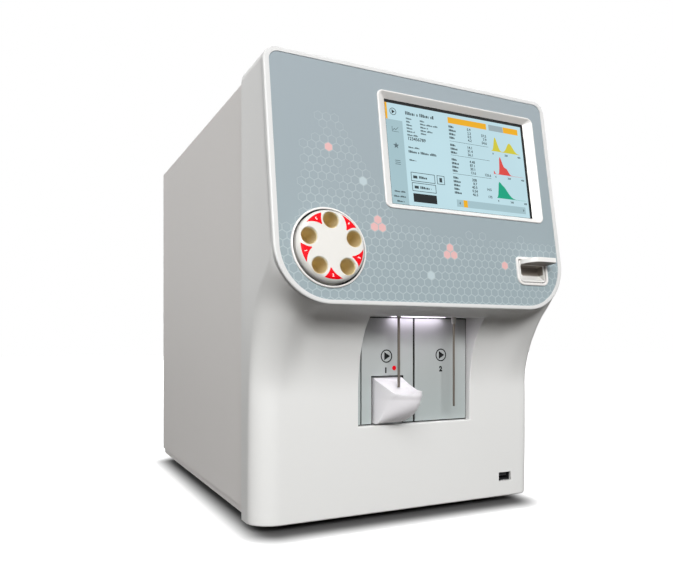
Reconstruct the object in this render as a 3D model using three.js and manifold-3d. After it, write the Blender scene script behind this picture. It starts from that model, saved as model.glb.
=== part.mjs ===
import * as THREE from 'three';
import { mergeVertices } from 'three/addons/utils/BufferGeometryUtils.js';
import Module from 'manifold-3d';

// Benchtop blood cell analyser with a tilted head, a tube mixer wheel, a sampling bay and an adapter drawer.
// Millimetres, +Z up, -Y towards the user. While pieces are being drawn, y = 0 is the panel's top edge and
// z = 0 the bench. The finished group is moved along Y so that the middle of its base is the origin.

const wasm = await Module();
wasm.setup();

// Overall sizes
const BODY_WIDTH = 290;
const HEAD_TOP = 393.4;
const SHELL_FOOT = 8;
const SHELL_BACK = 53;
const COVER_BACK = 397;

// Clearances, walls and the overrun of every cut
const SEAT_GAP = 0.3;
const RUN_GAP = 0.5;
const OVERRUN = 2;
const SHELL_WALL = 3;
const FLANGE_REACH = 6;
const PANEL_WALL = 4.2;
const SHEET = 1.2;
const FRAME_SHEET = 2;

// Facets of round pieces
const FINE_SIDES = 40;
const ROUND_SIDES = 20;
const SMALL_SIDES = 12;
const WHEEL_SIDES = 30;
const TUBE_SIDES = 14;
const ARC_STEPS = 6;

// Tilted panel: slope length, tilt, corners and the printed overlay that lies in its recess
const PANEL_SLANT = 207.5;
const PANEL_TILT = 0.1532;
const PANEL_TOP_RADIUS = 12;
const PANEL_FOOT_RADIUS = 46;
const RIM_SIDE = 6.2;
const RIM_END = 4.2;
const RIM_ROUND = 1.4;
const OVERLAY_STEP = 0.6;
const OVERLAY_THICKNESS = 1.2;
const FLARE_START = 2.4;
const FLARE_RATE_SHARE = 1.25;

// Undercut below the head and the straight lower front
const COLUMN_FRONT = 21;
const COLUMN_RADIUS = 12;
const HEAD_EDGE_RADIUS = 4;
const UNDERCUT_DEPTH = 40;
const UNDERCUT_START = 115;
const UNDERSIDE_DROP = 0.9;
const FLARE_BLEND = 6;

// Sampling bay in the undercut
const BAY_LEFT = -47;
const BAY_RIGHT = 72;
const BAY_FOOT = 85;
const BAY_HEAD_GAP = 6.3;
const BAY_WALL = 2.5;
const BAY_SEAM = 12;
const PLATE_INSET = 3;
const PLATE_THICKNESS = 2.5;
const PLATE_TRAVEL = 2;
const PLATE_PIN_RADIUS = 2.5;
const PLATE_PIN_LENGTH = 9;
const PLATE_EDGE = 9;
const SWITCH_WIDTH = 13;
const SWITCH_HEIGHT = 20;
const SWITCH_DEPTH = 8;

// Drip cup that stands in the left plate's notch
const CUP_BESIDE = 15;
const CUP_WIDTH = 30;
const CUP_LIFT = 1.5;
const CUP_HEIGHT = 40.5;
const CUP_REACH = 35;
const CUP_FALL = 9.5;
const CUP_SIDE_GAP = 1;
const CUP_SPOUT = 3;
const CUP_DISH_DEPTH = 8;

// Needles, their wash heads and lifts
const NEEDLE_Y = 5;
const SAMPLE_DIP = 7.5;
const DILUTE_CLEAR = 15.5;
const SAMPLE_RADIUS = 1.2;
const DILUTE_RADIUS = 0.9;
const SAMPLE_LIFT = 56;
const DILUTE_LIFT = 70;
const NEEDLE_BORE = 0.5;
const WASH_RADIUS = 5;
const WASH_HEIGHT = 6;
const WASH_NECK_RADIUS = 2.3;
const SAMPLE_NECK = 1.5;
const DILUTE_NECK = 6;
const CARRIAGE_WIDTH = 16;
const CARRIAGE_HEIGHT = 10;
const CARRIAGE_NOSE = 4;
const SCREW_SPACING = 19;
const GUIDE_SPACING = 10;
const SCREW_RADIUS = 2.5;
const GUIDE_RADIUS = 3;
const LIFT_MOTOR_WIDTH = 24;
const LIFT_MOTOR_HEIGHT = 18;
const LIFT_MARGIN = 4;

// Light strip in the bay's ceiling
const LIGHT_LENGTH = 56;
const LIGHT_WIDTH = 7.4;
const LIGHT_BACKSET = 9;
const LIGHT_FLANGE = 1.5;

// Screen: window in the panel, sloped surround and display
const SCREEN_SIDE = 16.9;
const SCREEN_TOP = 19.2;
const DISPLAY_WIDTH = 154;
const DISPLAY_HEIGHT = 94;
const SURROUND_SIDE = 9;
const SURROUND_END = 5.5;
const SURROUND_RADIUS = 6;
const SURROUND_PROUD = 0.4;
const SURROUND_WALL = 1.3;
const SURROUND_EDGE = 0.8;
const GLASS_THICKNESS = 1.8;
const GLASS_MARGIN = 4;
const MODULE_MARGIN = 1;
const DISPLAY_DEPTH = 7;

// Mixer wheel for five closed tubes
const WHEEL_BESIDE = 16.5;
const WHEEL_ABOVE = 15.5;
const WHEEL_PROUD = 6.2;
const WHEEL_EDGE = 5;
const WHEEL_DEPTH = 22;
const WHEEL_GAP = 0.9;
const RING_WALL = 0.8;
const RING_LIP = 0.8;
const RING_PROUD = 0.8;
const TUBE_COUNT = 5;
const TUBE_HOLE_RADIUS = 6.75;
const TUBE_PITCH_RADIUS = 20.4;
const TUBE_WEB = 2.85;
const TUBE_STOP = 2.9;
const WHEEL_SHAFT_RADIUS = 3;
const MOTOR_RADIUS = 16;
const MOTOR_LENGTH = 30;
const MOTOR_GRIP = 10;
const BRACKET_SPACING = 10;
const BRACKET_POSTS = 4;
const POST_RADIUS = 3.4;

// Adapter drawer in the panel
const DRAWER_SIDE = 22.4;
const DRAWER_RISE = 36.1;
const DRAWER_WIDTH = 30.6;
const DRAWER_HEIGHT = 20.6;
const DRAWER_LENGTH = 46;
const DRAWER_TRAVEL = 38;
const DRAWER_WALL = 1.8;
const DRAWER_RADIUS = 4;
const DRAWER_TOP_RADIUS = 1;
const DRAWER_LIP = 13;
const DRAWER_LIP_HEIGHT = 4.7;
const DRAWER_LIP_OVERHANG = 3;
const DRAWER_SCOOP = 8;
const DRAWER_FRAME_LIP = 2.4;
const DRAWER_SLEEVE_WALL = 1.8;

// Sheet steel cover, base pan, rear panel and feet
const COVER_STEP = 1.5;
const COVER_TOP_STEP = 8.9;
const COVER_FOOT = 17.3;
const COVER_RADIUS = 4;
const PAN_FOOT = 11;
const PAN_FLANGE = 22;
const PAN_NOSE_SIDE = 15;
const REAR_INSET = 3;
const FOOT_RADIUS = 11;
const FOOT_INSET = 22;
const FOOT_FRONT = 50;
const FOOT_REAR_INSET = 30;
const FOOT_CHAMFER = 1.5;
const FOOT_CHAMFER_RISE = 3;

// Socket on the lower front
const PORT_SIDE = 31;
const PORT_Z = 26.8;
const PORT_WIDTH = 14.5;
const PORT_HEIGHT = 8;
const PORT_WALL = 0.9;
const PORT_DEPTH = 16;

// Rear fittings: fan, mains inlet, rocker switch, reagent couplings and data sockets
const FAN_SIDE = 75;
const FAN_DROP = 94.5;
const FAN_SIZE = 80;
const FAN_DEPTH = 25;
const FAN_WALL = 2;
const FAN_HUB_RADIUS = 14;
const FAN_TIP_GAP = 1.5;
const FAN_BLADES = 7;
const FAN_BLADE_THICKNESS = 1.6;
const FAN_AXLE_RADIUS = 2;
const GRILLE_RINGS = 4;
const GRILLE_BAR = 3;
const INLET_SIDE = 50;
const INLET_Z = 60;
const INLET_WIDTH = 28;
const INLET_HEIGHT = 22;
const INLET_FLANGE = 4;
const INLET_DEPTH = 24;
const INLET_WELL = 17;
const INLET_WALL = 3;
const ROCKER_Z = 96;
const ROCKER_WIDTH = 13;
const ROCKER_HEIGHT = 20;
const ROCKER_PROUD = 2.6;
const ROCKER_DEPTH = 8;
const ROCKER_BEND = 0.16;
const ROCKER_THROW = 0.14;
const ROCKER_PIVOT = 2;
const COUPLING_SIDE = 50;
const COUPLING_Z = 70;
const COUPLING_SPACING = 34;
const COUPLING_COUNT = 4;
const COUPLING_RADIUS = 7;
const COUPLING_LENGTH = 17;
const COUPLING_BARB = 3.6;
const COUPLING_BORE = 1.6;
const SENSOR_Z = 104;
const SENSOR_RADIUS = 8;
const SENSOR_PROUD = 8;
const SENSOR_WALL = 1.6;
const DATA_SIDE = 37;
const DATA_DROP = 84.5;
const DATA_SPACING = 24;
const DATA_COUNT = 3;
const DATA_WIDTH = 16;
const DATA_HEIGHT = 14;
const DATA_DEPTH = 18;

// Modules that stand on the base pan
const SUPPLY_SIZE = [90, 170, 42];
const PUMP_SIZE = [80, 110, 95];
const MEASURE_SIZE = [110, 70, 150];
const BOARD_SIZE = [2, 190, 150];
const MODULE_LEG = 12;

// Shares along arcs, skins and outlines
const UNDERCUT_SHARES = [0.02, 0.16, 0.3, 0.44, 0.58, 0.72, 0.86, 1];
const CORNER_ROW_SHARES = [1, 0.82, 0.66, 0.52, 0.4, 0.3, 0.2, 0.1, 0];
const FLARE_COLUMN_SHARES = [0, 0.2, 0.4, 0.6, 0.8, 1];
const QUARTER_ARC_SHARES = [0.25, 0.5, 0.75, 1];
const CUP_NOSE_SHARES = [0.15, 0.3, 0.45, 0.6, 0.75, 0.9, 1];
const CUP_PLAN_SHARES = [
  [0, 0.06], [0.06, 0.3], [0.18, 0.56], [0.36, 0.8], [0.56, 0.94], [0.78, 1], [1, 0.95],
];
const CUP_SPOUT_SHARES = [[1, 0.86], [0.6, 0.74], [0, 0.62]];
const CUP_DISH_SHARES = { across: 0.42, along: 0.4, aside: 0.06 };
const LIP_PLAN_SHARES = [[0, 0.14], [0.2, 0.55], [0.5, 0.85], [0.9, 1]];
const LIP_RETURN_SHARE = 0.45;
const SCOOP_SHARES = [0, 0.25, 0.5, 0.75, 1];
const SCOOP_FOOT_SHARE = 0.92;
const GRILLE_CENTRE_SHARE = 0.6;
const ROCKER_WAIST_SHARE = 0.9;
const COUPLING_WAIST_SHARE = 0.75;
const COUPLING_NOSE_SHARE = 0.6;
const COUPLING_STEP_SHARES = { nut: 0.35, firstBarb: 0.6, lastBarb: 0.8 };

// Derived sizes
const HALF = BODY_WIDTH / 2;
const panelY = z => -(HEAD_TOP - z) * Math.tan(PANEL_TILT);
const HEAD_FOOT = HEAD_TOP - PANEL_SLANT * Math.cos(PANEL_TILT);
const UNDERSIDE_BACK = HEAD_FOOT - UNDERSIDE_DROP;
const UNDERCUT_HEIGHT = UNDERSIDE_BACK - UNDERCUT_START;
const BAY_CEILING = HEAD_FOOT - BAY_HEAD_GAP;
const PLATE_FRONT = COLUMN_FRONT + PLATE_INSET;
const PLATE_BACK = PLATE_FRONT + PLATE_THICKNESS;
const BAY_BACK = PLATE_BACK + PLATE_TRAVEL + RUN_GAP;
const BAY_TOP = BAY_CEILING + BAY_WALL;
const RECESS = OVERLAY_STEP + OVERLAY_THICKNESS + SEAT_GAP;
const CUP_LEFT = BAY_LEFT + CUP_BESIDE;
const CUP_RIGHT = CUP_LEFT + CUP_WIDTH;
const CUP_FOOT = BAY_FOOT + CUP_LIFT;
const CUP_TOP = CUP_FOOT + CUP_HEIGHT;
const SAMPLE_X = (CUP_LEFT + CUP_RIGHT) / 2;
const DILUTE_X = (BAY_SEAM + BAY_RIGHT) / 2;
const SAMPLE_TIP = CUP_TOP - SAMPLE_DIP;
const DILUTE_TIP = BAY_FOOT + DILUTE_CLEAR;
const SCREEN_X = HALF - SCREEN_SIDE - SURROUND_SIDE - DISPLAY_WIDTH / 2;
const SCREEN_DOWN = SCREEN_TOP + SURROUND_END + DISPLAY_HEIGHT / 2;
const WHEEL_RADIUS = TUBE_PITCH_RADIUS + TUBE_HOLE_RADIUS + TUBE_WEB;
const WHEEL_X = WHEEL_BESIDE + WHEEL_RADIUS - HALF;
const WHEEL_DOWN = PANEL_SLANT - WHEEL_ABOVE - WHEEL_RADIUS;
const DRAWER_X = HALF - DRAWER_SIDE - DRAWER_WIDTH / 2;
const DRAWER_DOWN = PANEL_SLANT - DRAWER_RISE;
const PORT_X = HALF - PORT_SIDE;
const COVER_HALF = HALF - COVER_STEP;
const COVER_TOP = HEAD_TOP - COVER_TOP_STEP;
const COVER_FRONT = SHELL_BACK + SEAT_GAP;
const PAN_HALF = COVER_HALF - SHEET - SEAT_GAP;
const PAN_TOP = PAN_FOOT + FRAME_SHEET;
const REAR_BACK = COVER_BACK - REAR_INSET;
const REAR_FRONT = REAR_BACK - FRAME_SHEET;
const MODULE_FOOT = PAN_TOP + SEAT_GAP;
const FAN_X = FAN_SIDE - HALF;
const FAN_Z = COVER_TOP - FAN_DROP;
const INLET_X = HALF - INLET_SIDE;
const COUPLING_X = COUPLING_SIDE - HALF;
const DATA_X = HALF - DATA_SIDE - (DATA_COUNT - 1) * DATA_SPACING;
const DATA_Z = COVER_TOP - DATA_DROP;

// Colours and surfaces
const paint = (color, roughness, metalness) =>
  new THREE.MeshStandardMaterial({ color, roughness, metalness });
const whiteShell = paint(0xe4e4e2, 0.42, 0);
const greyPaint = paint(0xb4b2b1, 0.6, 0.1);
const overlayPrint = paint(0xaab6bb, 0.4, 0);
const paleTrim = paint(0xe8e4e2, 0.35, 0);
const wheelPlastic = paint(0xefede9, 0.38, 0);
const cupPlastic = paint(0xeeedef, 0.3, 0);
const platePaint = paint(0xb9c0bf, 0.35, 0.2);
const steel = paint(0xa8aaaa, 0.28, 1);
const blackPlastic = paint(0x1c1c1e, 0.45, 0);
const glassPanel = paint(0xbfdfe8, 0.15, 0);
const lampLens = paint(0xfbf8ff, 0.4, 0);
const zincSheet = paint(0xb7babb, 0.45, 0.8);
const rubber = paint(0x242424, 0.85, 0);
const boardGreen = paint(0x2d6a4a, 0.55, 0);

// Closed geometry to solid and back
function toSolid(geometry) {
  const bare = geometry.clone();
  bare.deleteAttribute('normal');
  bare.deleteAttribute('uv');
  const merged = mergeVertices(bare, 1e-5);
  const vertProperties = new Float32Array(merged.attributes.position.array);
  const triVerts = new Uint32Array(merged.index.array);
  return new wasm.Manifold(new wasm.Mesh({ numProp: 3, vertProperties, triVerts }));
}

function toGeometry(solid) {
  const mesh = solid.getMesh();
  const geometry = new THREE.BufferGeometry();
  geometry.setAttribute('position', new THREE.BufferAttribute(new Float32Array(mesh.vertProperties), 3));
  geometry.setIndex(new THREE.BufferAttribute(new Uint32Array(mesh.triVerts), 1));
  return geometry;
}

const fuse = (...pieces) => pieces.map(toSolid).reduce((sum, piece) => sum.add(piece));

function carve(base, ...cuts) {
  let solid = base instanceof THREE.BufferGeometry ? toSolid(base) : base;
  for (const cut of cuts) {
    solid = solid.subtract(cut instanceof THREE.BufferGeometry ? toSolid(cut) : cut);
  }
  return solid;
}

// Basic forms: a box between two corners, a disc or rod along one axis, a ring turned from a profile
function block(x0, x1, y0, y1, z0, z1) {
  const geometry = new THREE.BoxGeometry(x1 - x0, y1 - y0, z1 - z0);
  return geometry.translate((x0 + x1) / 2, (y0 + y1) / 2, (z0 + z1) / 2);
}

function rodZ(radius, x, y, z0, z1, sides = SMALL_SIDES) {
  const geometry = new THREE.CylinderGeometry(radius, radius, z1 - z0, sides);
  return geometry.rotateX(Math.PI / 2).translate(x, y, (z0 + z1) / 2);
}

function rodY(radius, x, z, y0, y1, sides = SMALL_SIDES) {
  const geometry = new THREE.CylinderGeometry(radius, radius, y1 - y0, sides);
  return geometry.translate(x, (y0 + y1) / 2, z);
}

// A profile of [radius, y] points turned about a line along Y
function turnedY(profile, x, z, sides = ROUND_SIDES) {
  const points = profile.map(([radius, along]) => new THREE.Vector2(radius, along));
  return new THREE.LatheGeometry(points, sides).translate(x, 0, z);
}

// A profile of [radius, z] points turned about a line along Z
function turnedZ(profile, x, y, sides = ROUND_SIDES) {
  const points = profile.map(([radius, along]) => new THREE.Vector2(radius, along));
  return new THREE.LatheGeometry(points, sides).rotateX(Math.PI / 2).translate(x, y, 0);
}

// Rectangle in the X-Z plane with its own radius at the top and at the foot
function roundedRect(x0, x1, z0, z1, footRadius, topRadius) {
  const shape = new THREE.Shape();
  shape.moveTo(x0 + footRadius, z0);
  shape.lineTo(x1 - footRadius, z0);
  shape.absarc(x1 - footRadius, z0 + footRadius, footRadius, -Math.PI / 2, 0, false);
  shape.lineTo(x1, z1 - topRadius);
  shape.absarc(x1 - topRadius, z1 - topRadius, topRadius, 0, Math.PI / 2, false);
  shape.lineTo(x0 + topRadius, z1);
  shape.absarc(x0 + topRadius, z1 - topRadius, topRadius, Math.PI / 2, Math.PI, false);
  shape.lineTo(x0, z0 + footRadius);
  shape.absarc(x0 + footRadius, z0 + footRadius, footRadius, Math.PI, Math.PI * 1.5, false);
  return shape;
}

// Front outline pushed back along +Y from y0 to y1, with an optional rounded edge
function slab(shape, y0, y1, round = 0, steps = ARC_STEPS) {
  const geometry = new THREE.ExtrudeGeometry(shape, {
    depth: y1 - y0 - 2 * round,
    bevelEnabled: round > 0,
    bevelThickness: round,
    bevelSize: round,
    bevelOffset: -round,
    bevelSegments: 2,
    curveSegments: steps,
  });
  return geometry.rotateX(Math.PI / 2).translate(0, y1 - round, 0);
}

// Side outline of [y, z] points pushed along X
function sideSlab(points, x0, x1) {
  const shape = new THREE.Shape(points.map(([y, z]) => new THREE.Vector2(y, z)));
  const geometry = new THREE.ExtrudeGeometry(shape, { depth: x1 - x0, bevelEnabled: false });
  return geometry.rotateY(Math.PI / 2).rotateX(Math.PI / 2).translate(x0, 0, 0);
}

// Plan outline of [x, y] points pushed up
function planSlab(points, z0, z1) {
  const shape = new THREE.Shape(points.map(([x, y]) => new THREE.Vector2(x, y)));
  return new THREE.ExtrudeGeometry(shape, { depth: z1 - z0, bevelEnabled: false }).translate(0, 0, z0);
}

const root = new THREE.Group();
const assembly = new THREE.Group();
const panelFrame = new THREE.Group();
panelFrame.position.set(0, 0, HEAD_TOP);
panelFrame.rotation.x = -PANEL_TILT;
root.add(assembly);
assembly.add(panelFrame);

function place(group, name, shape, material) {
  const geometry = shape instanceof THREE.BufferGeometry ? shape : toGeometry(shape);
  const mesh = new THREE.Mesh(geometry, material);
  mesh.name = name;
  group.add(mesh);
  return mesh;
}

// A cutter drawn in the panel's own frame, brought upright for cutting the front shell
function fromPanel(geometry) {
  return geometry.rotateX(-PANEL_TILT).translate(0, 0, HEAD_TOP);
}

// Moulded front: centre profile of the undercut as [y, z], from the rim's foot down to the straight front
function undercutProfile() {
  const rows = [];
  for (const turnShare of UNDERCUT_SHARES) {
    const turn = turnShare * Math.PI / 2;
    const z = UNDERCUT_START + UNDERCUT_HEIGHT * Math.cos(turn);
    const y = COLUMN_FRONT - UNDERCUT_DEPTH * (1 - Math.sin(turn));
    rows.push({ y, z });
  }
  rows.push({ y: COLUMN_FRONT, z: SHELL_FOOT });
  return rows;
}

// Height of the flare behind the rim's lower corners: a cone that opens from the corner's arc
function flareY(x, z, start) {
  const across = Math.abs(x) - (HALF - PANEL_FOOT_RADIUS);
  const below = HEAD_FOOT + PANEL_FOOT_RADIUS - z;
  if (across <= 0 || below <= 0) {
    return panelY(z) + start;
  }
  const square = PANEL_FOOT_RADIUS * (Math.SQRT2 - 1);
  const outside = THREE.MathUtils.clamp(Math.hypot(across, below) - PANEL_FOOT_RADIUS, 0, square);
  return panelY(z) + start + FLARE_RATE_SHARE * outside;
}

function blendedMax(a, b, width) {
  const overlap = Math.max(width - Math.abs(a - b), 0) / width;
  return Math.max(a, b) + overlap * overlap * width / 4;
}

function edgeRadius(z) {
  const share = THREE.MathUtils.smoothstep(z, UNDERCUT_START, HEAD_FOOT);
  return THREE.MathUtils.lerp(COLUMN_RADIUS, HEAD_EDGE_RADIUS, share);
}

// Columns of the skin as signed x places: flat middle, flare stretch and rounded side edge
function skinColumns(half, radius) {
  const flareStart = half - PANEL_FOOT_RADIUS;
  const flareEnd = half - radius;
  const places = [];
  for (const flareShare of FLARE_COLUMN_SHARES) {
    places.push(flareStart + flareShare * (flareEnd - flareStart));
  }
  for (const arcShare of QUARTER_ARC_SHARES) {
    places.push(flareEnd + radius * Math.sin(arcShare * Math.PI / 2));
  }
  return [...places.map(x => -x).reverse(), ...places];
}

// Rows of the undercut, each moved inwards by the wall at right angles to the profile
function undercutRows(wall) {
  const profile = undercutProfile();
  const curveEnd = profile.length - 2;
  return profile.map((point, index) => {
    if (index >= curveEnd) {
      const foot = index > curveEnd && wall > 0 ? OVERRUN : 0;
      return { z: point.z - foot, y: point.y + wall, head: false };
    }
    const before = profile[Math.max(index - 1, 0)];
    const after = profile[index + 1];
    const run = Math.hypot(after.y - before.y, after.z - before.z);
    const outY = (before.z - after.z) / run;
    const outZ = (after.y - before.y) / run;
    return { z: point.z + outZ * wall, y: point.y + outY * wall, head: false };
  });
}

// Closed body behind a front skin: rows run from the top down, wall = 0 for the outside
function frontBody(wall, back) {
  const half = HALF - wall;
  const rows = [];
  const panelInset = wall > 0 ? PANEL_WALL : FLARE_START;
  const cornerTop = HEAD_FOOT + PANEL_FOOT_RADIUS;
  const skinTop = HEAD_TOP - wall;
  rows.push({ z: skinTop, y: panelY(skinTop) + panelInset, head: true });
  for (const cornerShare of CORNER_ROW_SHARES) {
    const z = HEAD_FOOT + wall + cornerShare * (cornerTop - HEAD_FOOT);
    rows.push({ z, y: panelY(z) + panelInset, head: true });
  }
  rows.push(...undercutRows(wall));
  const positions = [];
  const columnCount = skinColumns(half, COLUMN_RADIUS).length;
  for (const row of rows) {
    const radius = edgeRadius(row.z) - wall;
    for (const x of skinColumns(half, radius)) {
      const intoEdge = Math.max(0, Math.abs(x) - (half - radius));
      const edge = radius - Math.sqrt(Math.max(radius * radius - intoEdge * intoEdge, 0));
      const reach = Math.abs(x) + wall;
      const flare = flareY(reach, row.z - wall, panelInset + wall * Math.tan(PANEL_TILT));
      const front = row.head ? Math.max(row.y, flare) : blendedMax(row.y, flare, FLARE_BLEND);
      const deepest = row.z > HEAD_FOOT + PANEL_FOOT_RADIUS ? row.y : front;
      positions.push(x, deepest + edge, row.z);
    }
  }
  const frontCount = positions.length / 3;
  for (let i = 0; i < frontCount; i += 1) {
    positions.push(positions[3 * i], back, positions[3 * i + 2]);
  }
  return closeGrid(positions, rows.length, columnCount, frontCount);
}

// Faces of a front grid, its copy at the back and the walls between them
function closeGrid(positions, rowCount, columnCount, shift) {
  const index = [];
  const quad = (a, b, c, d) => index.push(a, b, c, a, c, d);
  for (let r = 0; r < rowCount - 1; r += 1) {
    for (let c = 0; c < columnCount - 1; c += 1) {
      const a = r * columnCount + c;
      const below = a + columnCount;
      quad(a, below, below + 1, a + 1);
      quad(shift + a, shift + a + 1, shift + below + 1, shift + below);
    }
    const left = r * columnCount;
    const right = left + columnCount - 1;
    quad(left, shift + left, shift + left + columnCount, left + columnCount);
    quad(right, right + columnCount, shift + right + columnCount, shift + right);
  }
  const last = (rowCount - 1) * columnCount;
  for (let c = 0; c < columnCount - 1; c += 1) {
    quad(c, c + 1, shift + c + 1, shift + c);
    quad(last + c, shift + last + c, shift + last + c + 1, last + c + 1);
  }
  const geometry = new THREE.BufferGeometry();
  geometry.setAttribute('position', new THREE.BufferAttribute(new Float32Array(positions), 3));
  geometry.setIndex(index);
  return geometry;
}

// Front view outline that rounds the two upper corners
function headMask(inset) {
  const radius = PANEL_TOP_RADIUS - inset;
  const shape = roundedRect(-HALF + inset, HALF - inset, 0, HEAD_TOP - inset, OVERRUN, radius);
  return toSolid(slab(shape, -HALF, HALF));
}

// Raised rim: the panel's outline pushed straight back, its front leaning with the panel
function panelRim() {
  const shape = roundedRect(-HALF, HALF, HEAD_FOOT, HEAD_TOP, PANEL_FOOT_RADIUS, PANEL_TOP_RADIUS);
  const geometry = slab(shape, 0, PANEL_WALL + OVERRUN, RIM_ROUND, 2 * ARC_STEPS);
  const spots = geometry.attributes.position;
  for (let i = 0; i < spots.count; i += 1) {
    spots.setY(i, spots.getY(i) + panelY(spots.getZ(i)));
  }
  return geometry;
}

// Outline of the printed overlay in the panel's frame, grown by a clearance
function overlayShape(grow) {
  const side = HALF - RIM_SIDE + grow;
  const foot = -(PANEL_SLANT - RIM_END) - grow;
  const top = -RIM_END + grow;
  const footRadius = PANEL_FOOT_RADIUS - RIM_SIDE + grow;
  return roundedRect(-side, side, foot, top, footRadius, PANEL_TOP_RADIUS - RIM_END + grow);
}

// Outer outline of the screen surround, or of its opening with a negative grow
function screenShape(growX, growZ, radius) {
  const halfX = DISPLAY_WIDTH / 2 + growX;
  const halfZ = DISPLAY_HEIGHT / 2 + growZ;
  const foot = -SCREEN_DOWN - halfZ;
  return roundedRect(SCREEN_X - halfX, SCREEN_X + halfX, foot, foot + 2 * halfZ, radius, radius);
}

function drawerShape(grow) {
  const halfX = DRAWER_WIDTH / 2 + grow;
  const halfZ = DRAWER_HEIGHT / 2 + grow;
  const foot = -DRAWER_DOWN - halfZ;
  const footRadius = DRAWER_RADIUS + grow;
  const topRadius = DRAWER_TOP_RADIUS + grow;
  return roundedRect(DRAWER_X - halfX, DRAWER_X + halfX, foot, foot + 2 * halfZ, footRadius, topRadius);
}

function frontShell() {
  const outside = toSolid(frontBody(0, SHELL_BACK)).intersect(headMask(0));
  const inside = toSolid(frontBody(SHELL_WALL, SHELL_BACK + OVERRUN)).intersect(headMask(SHELL_WALL));
  const bayBox = (grow, front, back) =>
    block(BAY_LEFT - grow, BAY_RIGHT + grow, front, back, BAY_FOOT - grow, BAY_CEILING + grow);
  const keptRound = toSolid(bayBox(BAY_WALL, -PANEL_SLANT, BAY_BACK));
  const flangeFront = SHELL_BACK - SHELL_WALL;
  const flangeFoot = COVER_TOP - FLANGE_REACH;
  const rearFlange = block(-HALF, HALF, flangeFront, SHELL_BACK + OVERRUN, flangeFoot, HEAD_TOP);
  const hollow = inside.subtract(keptRound).subtract(toSolid(rearFlange));
  const solid = outside.add(toSolid(panelRim())).subtract(hollow);
  const ringHole = WHEEL_RADIUS + WHEEL_GAP + RING_WALL + SEAT_GAP;
  const drawerHole = RUN_GAP + DRAWER_SLEEVE_WALL + SEAT_GAP;
  const lightX = (SAMPLE_X + DILUTE_X) / 2;
  const lightHalf = LIGHT_LENGTH / 2 + SEAT_GAP;
  const lightY = NEEDLE_Y + LIGHT_BACKSET;
  const lightBack = lightY + LIGHT_WIDTH + 2 * SEAT_GAP;
  const neckHole = WASH_NECK_RADIUS + SEAT_GAP;
  const wellHalfX = PORT_WIDTH / 2 + SEAT_GAP;
  const wellHalfZ = PORT_HEIGHT / 2 + SEAT_GAP;
  const wellBack = COLUMN_FRONT + SHELL_WALL + OVERRUN;
  const cutFoot = BAY_CEILING - OVERRUN;
  const cutTop = BAY_TOP + OVERRUN;
  return carve(
    solid,
    bayBox(0, -PANEL_SLANT, BAY_BACK + OVERRUN),
    fromPanel(slab(overlayShape(SEAT_GAP), -OVERRUN, RECESS)),
    fromPanel(slab(screenNeck(SEAT_GAP), 0, PANEL_WALL + 2 * OVERRUN, 0, 1)),
    fromPanel(rodY(ringHole, WHEEL_X, -WHEEL_DOWN, 0, PANEL_WALL + 2 * OVERRUN, FINE_SIDES)),
    fromPanel(slab(drawerShape(drawerHole), 0, PANEL_WALL + 2 * OVERRUN, 0, 2)),
    block(lightX - lightHalf, lightX + lightHalf, lightY, lightBack, cutFoot, cutTop),
    rodZ(neckHole, SAMPLE_X, NEEDLE_Y, cutFoot, cutTop),
    rodZ(neckHole, DILUTE_X, NEEDLE_Y, cutFoot, cutTop),
    block(PORT_X - wellHalfX, PORT_X + wellHalfX, 0, wellBack, PORT_Z - wellHalfZ, PORT_Z + wellHalfZ),
  );
}

place(assembly, 'front_shell', frontShell(), whiteShell);

// Printed overlay with its openings for screen, wheel and drawer
function panelOverlay() {
  const front = OVERLAY_STEP;
  const back = OVERLAY_STEP + OVERLAY_THICKNESS;
  const ringOuter = WHEEL_RADIUS + WHEEL_GAP + RING_WALL + RING_LIP;
  const cut = shape => slab(shape, front - OVERRUN, back + OVERRUN, 0, 3);
  return carve(
    slab(overlayShape(0), front, back, 0, 8),
    cut(screenShape(SURROUND_SIDE + SEAT_GAP, SURROUND_END + SEAT_GAP, SURROUND_RADIUS)),
    rodY(ringOuter + SEAT_GAP, WHEEL_X, -WHEEL_DOWN, front - OVERRUN, back + OVERRUN, FINE_SIDES),
    cut(drawerShape(RUN_GAP + DRAWER_FRAME_LIP + SEAT_GAP)),
  );
}

place(panelFrame, 'panel_overlay', panelOverlay(), overlayPrint);

// Outline of the surround's neck, which holds the sloped faces behind the lip
function screenNeck(grow) {
  const behindShare = (PANEL_WALL - OVERLAY_STEP - OVERLAY_THICKNESS) / (PANEL_WALL + SURROUND_PROUD);
  const growX = (SURROUND_SIDE - SURROUND_EDGE) * behindShare + SURROUND_WALL + grow;
  const growZ = (SURROUND_END - SURROUND_EDGE) * behindShare + SURROUND_WALL + grow;
  return screenShape(growX, growZ, SURROUND_WALL);
}

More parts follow.
